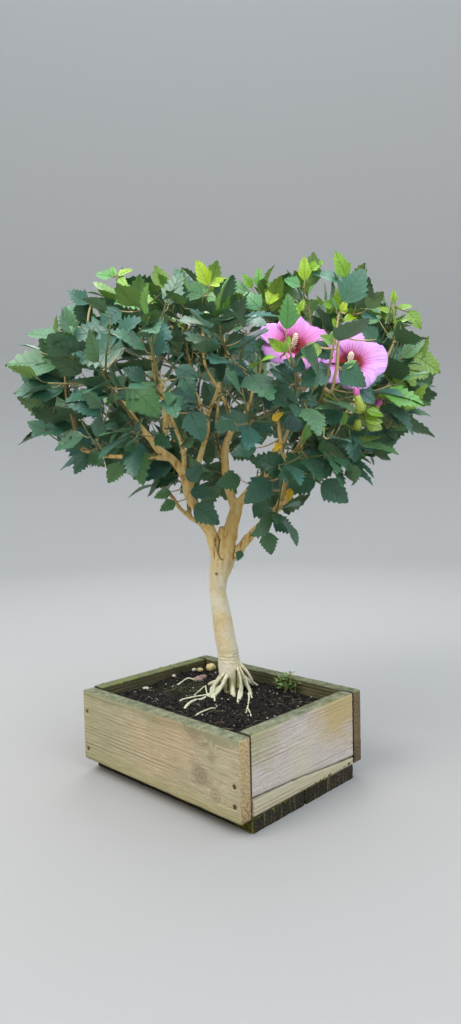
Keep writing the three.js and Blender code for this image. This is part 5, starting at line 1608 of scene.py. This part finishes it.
def stamens_of(name, throat, facing, seed):
    """A flower's column with its anthers and stigmas."""
    draw = drawer(seed)
    bm = bmesh.new()
    rings = [Vector((0, 0, COLUMN_FOOT + COLUMN_LENGTH * share)) for share, _ in COLUMN_RINGS]
    tube(bm, rings, [radius for _, radius in COLUMN_RINGS], 12)
    for k in range(ANTHERS):
        turn = GOLDEN_TURN * k
        out = Vector((math.cos(turn), math.sin(turn), 0.35 + 0.5 * draw())).normalized()
        start = Vector((0, 0, COLUMN_FOOT + COLUMN_LENGTH * (0.3 + 0.6 * k / ANTHERS)))
        end = start + out * (2.4 + 1.5 * draw())
        tube(bm, [start, end], [0.25, 0.2], 4)
        bmesh.ops.create_icosphere(bm, subdivisions=1, radius=0.85, matrix=Matrix.Translation(end))
    for k in range(STIGMAS):
        turn = STIGMA_TURN * k
        out = Vector((math.cos(turn), math.sin(turn), 1.6)).normalized()
        tube(bm, [rings[-1], rings[-1] + out * 2.6], [0.3, 0.25], 5)
        pose = Matrix.Translation(rings[-1] + out * 3)
        bmesh.ops.create_icosphere(bm, subdivisions=2, radius=0.9, matrix=pose)
    bmesh.ops.transform(bm, matrix=bloom_axes(throat, facing), verts=bm.verts)
    return piece_of("stamens_fine_" + name, in_metres(bm), stamen_material, ["stamens_" + name])


for seed, (name, (throat, facing, _)) in enumerate(BLOOMS.items(), 41):
    stamens_of(name, throat, facing, seed)

# %% [markdown]
# ## Cups, stalks and buds
# Behind each flower sits a green cup with five pointed lobes, on a stalk from its twig. A bud is the same
# cup still closed round its petals, which show as a furled roll at the tip once it is nearly ready. All are
# turned on the axis they point along; the lobes come from pulling every other part of the last ring out and
# up.

# %% Cups and stalks
CUP_FOOT = HUB_LOW - 13.3
CUP_RINGS = [(2.6, 0), (5, 2.5), (6.5, 6), (6.3, 9.5), (6.4, 10)]  # radius, height over the foot
BUDS = {  # foot, facing, length, share of the twig that carries it, whether its petals show
    "pointed": ((157, -204, 486), (-0.25, -0.2, 0.95), 21, 0.42, True),
    "small": ((180, -150, 486), (0.4, -0.4, 0.85), 15, 0.06, True),
    "round": ((160, -158, 470), (0, -0.7, 0.7), 13, 0.1, False),
}
cup_material = grained("calyx", (260.0, 4.0), (0, tone(112, 136, 46)), (0.5, tone(162, 178, 70)),
                       (1, tone(206, 208, 124)), relief=0.0004, Roughness=0.6)


def ring_turned(bm, profile, sides, lobes=0, pull=0.0, lift=0.0):
    """Rings of given radius and height on the Z axis; the last one may be pulled out and up into lobes."""
    rings = [Vector((0, 0, height)) for _, height in profile]
    edges = tube(bm, rings, [radius for radius, _ in profile], sides)
    for vert in {vert for edge in edges for vert in edge.verts}:
        swing = 0.5 + 0.5 * math.cos(lobes * math.atan2(vert.co.y, vert.co.x))
        vert.co.x *= 1 + pull * swing
        vert.co.y *= 1 + pull * swing
        vert.co.z += lift * swing


def stalk(bm, axes, foot, twig, radius, inside_by, behind):
    """A stalk from inside a cup's foot, straight out behind it and then to its twig."""
    start, bend = (axes @ Vector((0, 0, foot + height)) for height in (inside_by, -behind))
    path = bow(start, bend, twig, 8)
    tube(bm, path, [radius] * len(path), 8)


def twig_place(spray, share):
    """The place at a share of a spray's first twig."""
    return on_twig(bow(*sprays[spray][1][0], TWIG_STEPS), share)[0]


for name, (throat, facing, spray) in BLOOMS.items():
    bm = bmesh.new()
    axes = bloom_axes(throat, facing)
    ring_turned(bm, [(radius, CUP_FOOT + height) for radius, height in CUP_RINGS], 20, 5, 0.5, 3)
    bmesh.ops.transform(bm, matrix=axes, verts=bm.verts)
    stalk(bm, axes, CUP_FOOT, twig_place(spray, 0.2), 1.6, 3, 9)
    piece_of("calyx_" + name, in_metres(bm), cup_material)

# %% Buds
SEPALS = 7
BUDS = {  # foot, facing, length, share of the twig that carries it, whether its petals show
    "pointed": ((157, -204, 486), (-0.25, -0.2, 0.95), 21, 0.42, True),
    "small": ((180, -150, 486), (0.4, -0.4, 0.85), 15, 0.06, True),
    "round": ((160, -158, 470), (0, -0.7, 0.7), 13, 0.1, False),
}
BUD_RINGS = [(1.6, 0), (4.0, 0.12), (5.2, 0.32), (4.9, 0.6), (3.9, 0.82), (2.7, 1)]  # radius, share of length
ROLL_RINGS = [(2.6, 0), (3.9, 4), (3.8, 6.5), (2.4, 9.5), (0.8, 11)]  # radius, height over the roll's foot
furled_material = grained("furled_petals", (240.0, 3.0), (0, tone(176, 52, 118)), (0.5, tone(210, 96, 164)),
                          (1, tone(232, 172, 208)), Roughness=0.55)
for name, (foot, facing, length, share, open_tip) in BUDS.items():
    axes = bloom_axes(foot, facing)
    bm = bmesh.new()
    ring_turned(bm, [(radius, part * length) for radius, part in BUD_RINGS], 15, 5, 0.15, 1.5)
    for k in range(SEPALS):
        turn = 2 * math.pi * k / SEPALS
        out = Vector((math.cos(turn), math.sin(turn), 0))
        tube(bm, [out * 1.5, out * 5.5 + UP * 1.5, out * 7.5 + UP * 0.4 * length], [0.7, 0.6, 0.2], 4)
    bmesh.ops.transform(bm, matrix=axes, verts=bm.verts)
    stalk(bm, axes, 0, twig_place("bloom_right", share), 1.2, 2, 8)
    piece_of("bud_" + name, in_metres(bm), cup_material)
    if open_tip:
        bm = bmesh.new()
        ring_turned(bm, [(radius, length - 2 + height) for radius, height in ROLL_RINGS], 14, 3, 0.4, 0.6)
        bmesh.ops.transform(bm, matrix=axes, verts=bm.verts)
        piece_of("furled_" + name, in_metres(bm), furled_material, ["bud_petals_" + name])

# %% [markdown]
# ## Soil
# The soil is an old dark mix: fine crumbs, bits of bark, thin dead roots and a few white grains. The CAD
# solid is remeshed and roughened on top only, because its sides stay behind the boards. Crumbs are then
# sunk into it all over, at heights read from the soil itself.

# %% Soil finish
MOSS_PATCH = place((-64, 26, 104)) * MM
soil = Finish("soil", Roughness=0.95, Specular_IOR_Level=0.25)
soil_point = soil.object_point()
grit = soil.speckle(soil_point, 420.0, 6.0, 0.75)
clods = soil.speckle(soil_point, 90.0, 4.0, 0.6)


def mossed(finish, point, colour, grain):
    """Green where moss has crept over the soil, left of the trunk."""
    gap = finish.gap_to(point, MOSS_PATCH)
    return finish.mix(colour, tone(60, 68, 34), gap.rise(0.05, 0.012) * grain.rise(0.42, 0.56) * 0.7)


soil_colour = soil.ramp(grit, (0, tone(4, 4, 4)), (0.48, tone(13, 12, 11)), (0.58, tone(34, 28, 24)),
                        (0.7, tone(92, 80, 66)), (1, tone(150, 132, 104)))
soil_colour = soil.mix(soil_colour, tone(22, 16, 13), clods.rise(0.5, 0.7) * 0.6)
soil_colour = mossed(soil, soil_point, soil_colour, grit)
soil_material = soil.finish(soil_colour, None, grit * 0.7 + clods, depth=0.002)
print("moss lies round", [round(at, 3) for at in MOSS_PATCH])

# %% The soil's surface
SOIL_VOXEL = 2.4
SOIL_FACE = 0.097


def soil_height(spot, normal):
    """How far the soil's top rises or sinks, in millimetres, away from the boards."""
    if normal.z < 0.6 or abs(spot.x) > 131 or abs(spot.y) > 101:
        return 0.0
    return noise.noise(spot * 0.12) * 2.0 + noise.noise(spot * 0.33) * 1.3


def bank(x, y):
    """How much higher the soil lies against the left board and in the back corner, in millimetres."""
    beside = max(0.0, min(1.0, (-110 - x) / 18))
    behind = max(0.0, min(1.0, (y - 80) / 16)) * max(0.0, min(1.0, (-45 - x) / 40))
    return 7.5 * max(beside * (1 - 0.9 * math.exp(-((y + 29) / 26) ** 2)), behind)


soil_bm = remeshed(merged_copy("soil"), SOIL_VOXEL, smoothing=1)
raise_by(soil_bm, soil_height)
for vert in soil_bm.verts:
    if vert.co.z > SOIL_FACE:
        vert.co.z += bank(vert.co.x * 1000, vert.co.y * 1000) * MM
ground = BVHTree.FromBMesh(soil_bm)
piece_of("soil_top", soil_bm, soil_material, ["soil"])


def soil_at(x, y):
    """The soil's surface under a place, in millimetres, or None off its edge."""
    hit = ground.ray_cast(Vector((x, y, 200)) * MM, -UP)[0]
    return Vector((x, y, hit.z * 1000)) if hit else None


# %% Crumbs and pale grains
SCATTER_WIDE, SCATTER_DEEP = 262, 202
LUMPS_A_PART = 60


def scattered(name, seed, count, sizes, material):
    """Small lumps half sunk in the soil."""
    draw = drawer(seed)
    bm, part = bmesh.new(), bmesh.new()
    for i in range(count):
        if i % LUMPS_A_PART == LUMPS_A_PART - 1:
            graft(bm, part)
            part = bmesh.new()
        spot = soil_at((draw() - 0.5) * SCATTER_WIDE, (draw() - 0.5) * SCATTER_DEEP)
        size = sizes[0] + (sizes[1] - sizes[0]) * draw() ** 3
        turn = Matrix.Rotation(6.28 * draw(), 4, Vector((draw() - 0.5, draw() - 0.5, 1)).normalized())
        squash = Matrix.Diagonal((1 + 0.7 * draw(), 0.7 + 0.4 * draw(), 0.5 + 0.4 * draw(), 1))
        if spot:
            pose = Matrix.Translation(spot + UP * 0.15 * size) @ turn @ squash
            bmesh.ops.create_icosphere(part, subdivisions=1, radius=size, matrix=pose)
    graft(bm, part)
    return piece_of(name, in_metres(bm), material, smooth=False)


crumb = Finish("crumbs", Roughness=0.95, Specular_IOR_Level=0.25)
crumb_point = crumb.object_point()
crumb_tint = crumb.speckle(crumb_point, 210.0, 4.0, 0.7)
crumb_colour = crumb.ramp(crumb_tint, (0, tone(5, 4, 4)), (0.48, tone(13, 11, 10)), (0.57, tone(42, 32, 27)),
                          (0.67, tone(104, 88, 74)), (1, tone(176, 158, 130)))
crumb_material = crumb.finish(mossed(crumb, crumb_point, crumb_colour, crumb_tint))
pale_material = grained("pale_grit", (150.0, 3.0), (0, tone(150, 142, 128)), (1, tone(224, 220, 208)),
                        Roughness=0.8)
scattered("soil_crumbs", 61, 2200, (0.7, 3.2), crumb_material)
scattered("pale_grains", 62, 420, (0.35, 1.3), pale_material)

# %% Dead roots in the soil
FIBRES = 70
FIBRE_STEP = 5
fibre_material = grained("dead_roots", (30.0, 3.0), (0, tone(36, 29, 22)), (0.5, tone(82, 70, 54)),
                         (1, tone(160, 148, 124)), Roughness=0.9)


def soil_fibres(seed, count):
    """Short dead roots that lie over the soil."""
    draw = drawer(seed)
    bm = bmesh.new()
    for _ in range(count):
        x, y, way = (draw() - 0.5) * 250, (draw() - 0.5) * 190, 6.28 * draw()
        path = []
        for k in range(4):
            spot = soil_at(x, y)
            if spot:
                path.append(spot + UP * (0.5 + 1.3 * math.sin(k * 1.05) * draw()))
            x, y = x + FIBRE_STEP * math.cos(way), y + FIBRE_STEP * math.sin(way)
            way += 0.9 * (draw() - 0.5)
        if len(path) > 2:
            tube(bm, path, [0.45 + 0.3 * draw()] * len(path), 4)
    return piece_of("soil_fibres", in_metres(bm), fibre_material)


soil_fibres(63, FIBRES)

# %% Moss along the edges
moss_material = grained("moss", (170.0, 4.0, 0.7), (0, tone(24, 28, 12)), (0.45, tone(52, 58, 22)),
                        (0.58, tone(104, 108, 34)), (1, tone(170, 164, 60)), Roughness=0.95)
MOSS_LINES = [  # start, end, spread in each direction, count
    ((-150, -112, 17.5), (151, -112, 17.5), (0, 15, 1.5), 260),
    ((-148, -101, 14), (150, -101, 14), (0, 1, 8), 150), ((140, -102, 10), (152, -102, 10), (0, 2, 16), 60),
    ((-137, -100, 116.6), (-137, 102, 116.6), (5, 0, 1), 150),
    ((-150, -100, 117), (-150, 104, 117), (6, 0, 0.6), 80),
    ((-130, 105, 116.5), (-20, 105, 116.5), (0, 5, 1), 60),
    ((152.5, -100, 17), (152.5, 100, 24), (1, 0, 2), 60),
]


def mossy_edges(seed):
    """Tufts of moss half sunk in the boards along their damp edges."""
    draw = drawer(seed)
    bm = bmesh.new()
    for start, end, spread, count in MOSS_LINES:
        part = bmesh.new()
        for _ in range(count):
            spot = Vector(start).lerp(Vector(end), draw())
            spot += Vector([width * (draw() - 0.5) for width in spread])
            pose = Matrix.Translation(spot) @ Matrix.Diagonal((1.3, 1.3, 0.8, 1))
            bmesh.ops.create_icosphere(part, subdivisions=1, radius=0.6 + 1.5 * draw() ** 2, matrix=pose)
        graft(bm, part)
    return piece_of("edge_moss", in_metres(bm), moss_material, smooth=False)


mossy_edges(64)

# %% [markdown]
# ## Stones, fine roots and small plants
# Eight stones lie half sunk in the soil, and two of them stand for the CAD model's own. Fourteen roots no
# thicker than string run over the soil between them and down the trunk's foot. Five small plants have
# sprouted at the right, where the CAD model has its one seedling. Each lies where the photograph shows it.

# %% Stones
STONE_SINK = 0.3
rosy_material = grained("rosy_stone", (420.0, 5.0, 0.7), (0, tone(84, 68, 60)), (0.5, tone(146, 124, 114)),
                        (1, tone(200, 184, 172)), Roughness=0.8)
straw_material = grained("straw_stone", (260.0, 5.0, 0.7), (0, tone(128, 112, 66)),
                         (0.5, tone(200, 184, 126)), (1, tone(232, 226, 190)), Roughness=0.8)
STONES = {  # across and away, radius, turn, finish, whether the CAD model has it
    "stone_left": ((-129, 25), 4.6, 1.1, pale_material, True),
    "stone_back": ((-45, 77), 5.4, 3.9, rosy_material, True),
    "stone_corner": ((-33, 108), 8.5, 2.0, straw_material, False),
    "stone_corner_low": ((-51, 104), 4.4, 0.6, straw_material, False),
    "stone_far": ((-60, 100), 3.4, 4.4, pale_material, False),
    "stone_beside": ((-52, 68), 7.0, 2.9, rosy_material, False),
    "stone_middle": ((-90, 70), 3.4, 5.2, pale_material, False),
    "stone_right": ((89, -4), 3.0, 1.7, rosy_material, False),
}
for name, ((across, away), radius, turn, material, is_node) in STONES.items():
    bm = bmesh.new()
    bmesh.ops.create_icosphere(bm, subdivisions=4, radius=radius)
    for vert in bm.verts:
        vert.co *= 1 + 0.22 * noise.noise(vert.co * 0.28 + Vector((turn * 9, 0, 0)))
    seat = soil_at(*place((across, away, 0)).xy) + UP * STONE_SINK * radius
    pose = Matrix.Translation(seat) @ Matrix.Rotation(turn, 4, "Z") @ Matrix.Diagonal((1.2, 0.9, 0.7, 1))
    bmesh.ops.transform(bm, matrix=pose, verts=bm.verts)
    piece_of(name + "_worn", in_metres(bm), material, [name] if is_node else ())

# %% Fine roots
SOIL_IN_TABLE = 101
ON_SOIL = 106
FINE_ROOTS = [  # points across, away and up, and a radius
    ([(-88, 50, 96), (-81, 52, 101), (-68, 67, 105), (-54, 66, 101), (-48, 60, 96)], 1.5),
    ([(-66, -66, 97), (-63, -61, 102), (-54, -47, 104), (-42, -32, 102), (-30, -20, 104)], 2.0),
    ([(-76, -38, 97), (-71, -35, 102), (-55, -30, 104), (-37, -21, 103), (-26, -12, 106)], 1.2),
    ([(24, -20, 104), (24, -40, 103), (21, -72, 102), (16, -101, 98)], 1.4),
    ([(21, -72, 102), (24, -92, 102), (26, -111, 98)], 1.0),
    ([(-50, -104, 98), (-46, -96, 102), (-29, -76, 104), (-22, -68, 99)], 1.3),
    ([(-5, -9, 142), (-9, -12, 136), (-14, -14, 129), (-20, -14, 122), (-25, -13, 114), (-28, -13, 106),
        (-30, -20, 102), (-30, -36, 98)], 2.1),
    ([(-24, -13, 115), (-26, -17, 107), (-25, -28, 103), (-24, -46, 101), (-23, -54, 97)], 1.5),
    ([(-4, -11, 134), (-9, -17, 126), (-14, -21, 117), (-20, -25, 109), (-26, -27, 103),
        (-31, -32, 98)], 3.0),
    ([(8, -10, 141), (11, -16, 134), (13, -19, 124), (13, -21, 115), (10, -24, 107), (9, -32, 102),
        (8, -46, 101), (8, -54, 97)], 1.9),
    ([(12, -8, 140), (16, -12, 132), (21, -14, 123), (24, -16, 113), (26, -19, 105), (28, -30, 101),
        (29, -38, 97)], 1.6),
    ([(12, -4, 146), (17, -6, 139), (22, -5, 133), (27, -3, 124), (31, 2, 114), (34, 12, 105),
        (36, 24, 97)], 2.3),
    ([(-38, 36, 98), (-39, 28, 102), (-38, 6, 104), (-36, -12, 103), (-33, -24, 102), (-30, -38, 98)], 1.1),
    ([(-44, 34, 98), (-41, 20, 104), (-46, 0, 104), (-54, -14, 102), (-60, -18, 98)], 1.0),
]
bm = bmesh.new()
for points, radius in FINE_ROOTS:
    path = []
    for point in points:
        spot = place(point)
        surface = soil_at(spot.x, spot.y)
        path.append(surface + UP * (point[2] - SOIL_IN_TABLE) if surface and point[2] < ON_SOIL else spot)
    radii = [radius * (1 - 0.3 * k / (len(path) - 1)) for k in range(len(path))]
    path, radii = curve_through(path, radii)
    tube(bm, path, radii, 10)
bm = in_metres(bm)
raise_by(bm, lambda point, normal: noise.noise(point * 0.3) * 0.5 + noise.noise(point * 0.8) * 0.25)
piece_of("fine_roots", bm, bark_material)

# %% Small plants
WEEDS = [(72, 12, 14, 9), (78, -8, 12, 9), (86, -3, 26, 12), (81, 4, 19, 10), (92, -8, 14, 7)]
bm = cutting()
weed_draw = drawer(71)
for across, away, tall, leaves in WEEDS:
    foot = soil_at(*place((across, away, 0)).xy)
    path = [foot - UP * 4, foot, foot + UP * 0.5 * tall, foot + UP * tall]
    stem_tube(bm, path, [1.1, 1.1, 1.0, 0.8], 6, 0.7)
    for i in range(leaves):
        turn = GOLDEN_TURN * i
        way = Vector((math.cos(turn), math.sin(turn), 0.3 + 0.5 * weed_draw())).normalized()
        root = foot + UP * tall * (1 - 0.8 * i / leaves)
        neck = root + way * 3
        side = way.cross(UP).normalized()
        stem_tube(bm, [root, neck], [0.5, 0.4], 4, 0.7)
        pose = (neck, side, way, side.cross(way), 7 + 6 * weed_draw())
        stamp(bm, YOUNG_BLADE, pose, (0.3, 0.5 + 0.4 * weed_draw(), 0), 0.1)
piece_of("seedling", in_metres(bm), foliage_material, ["weed"])

# %% [markdown]
# ## Finished
# The tree is complete.
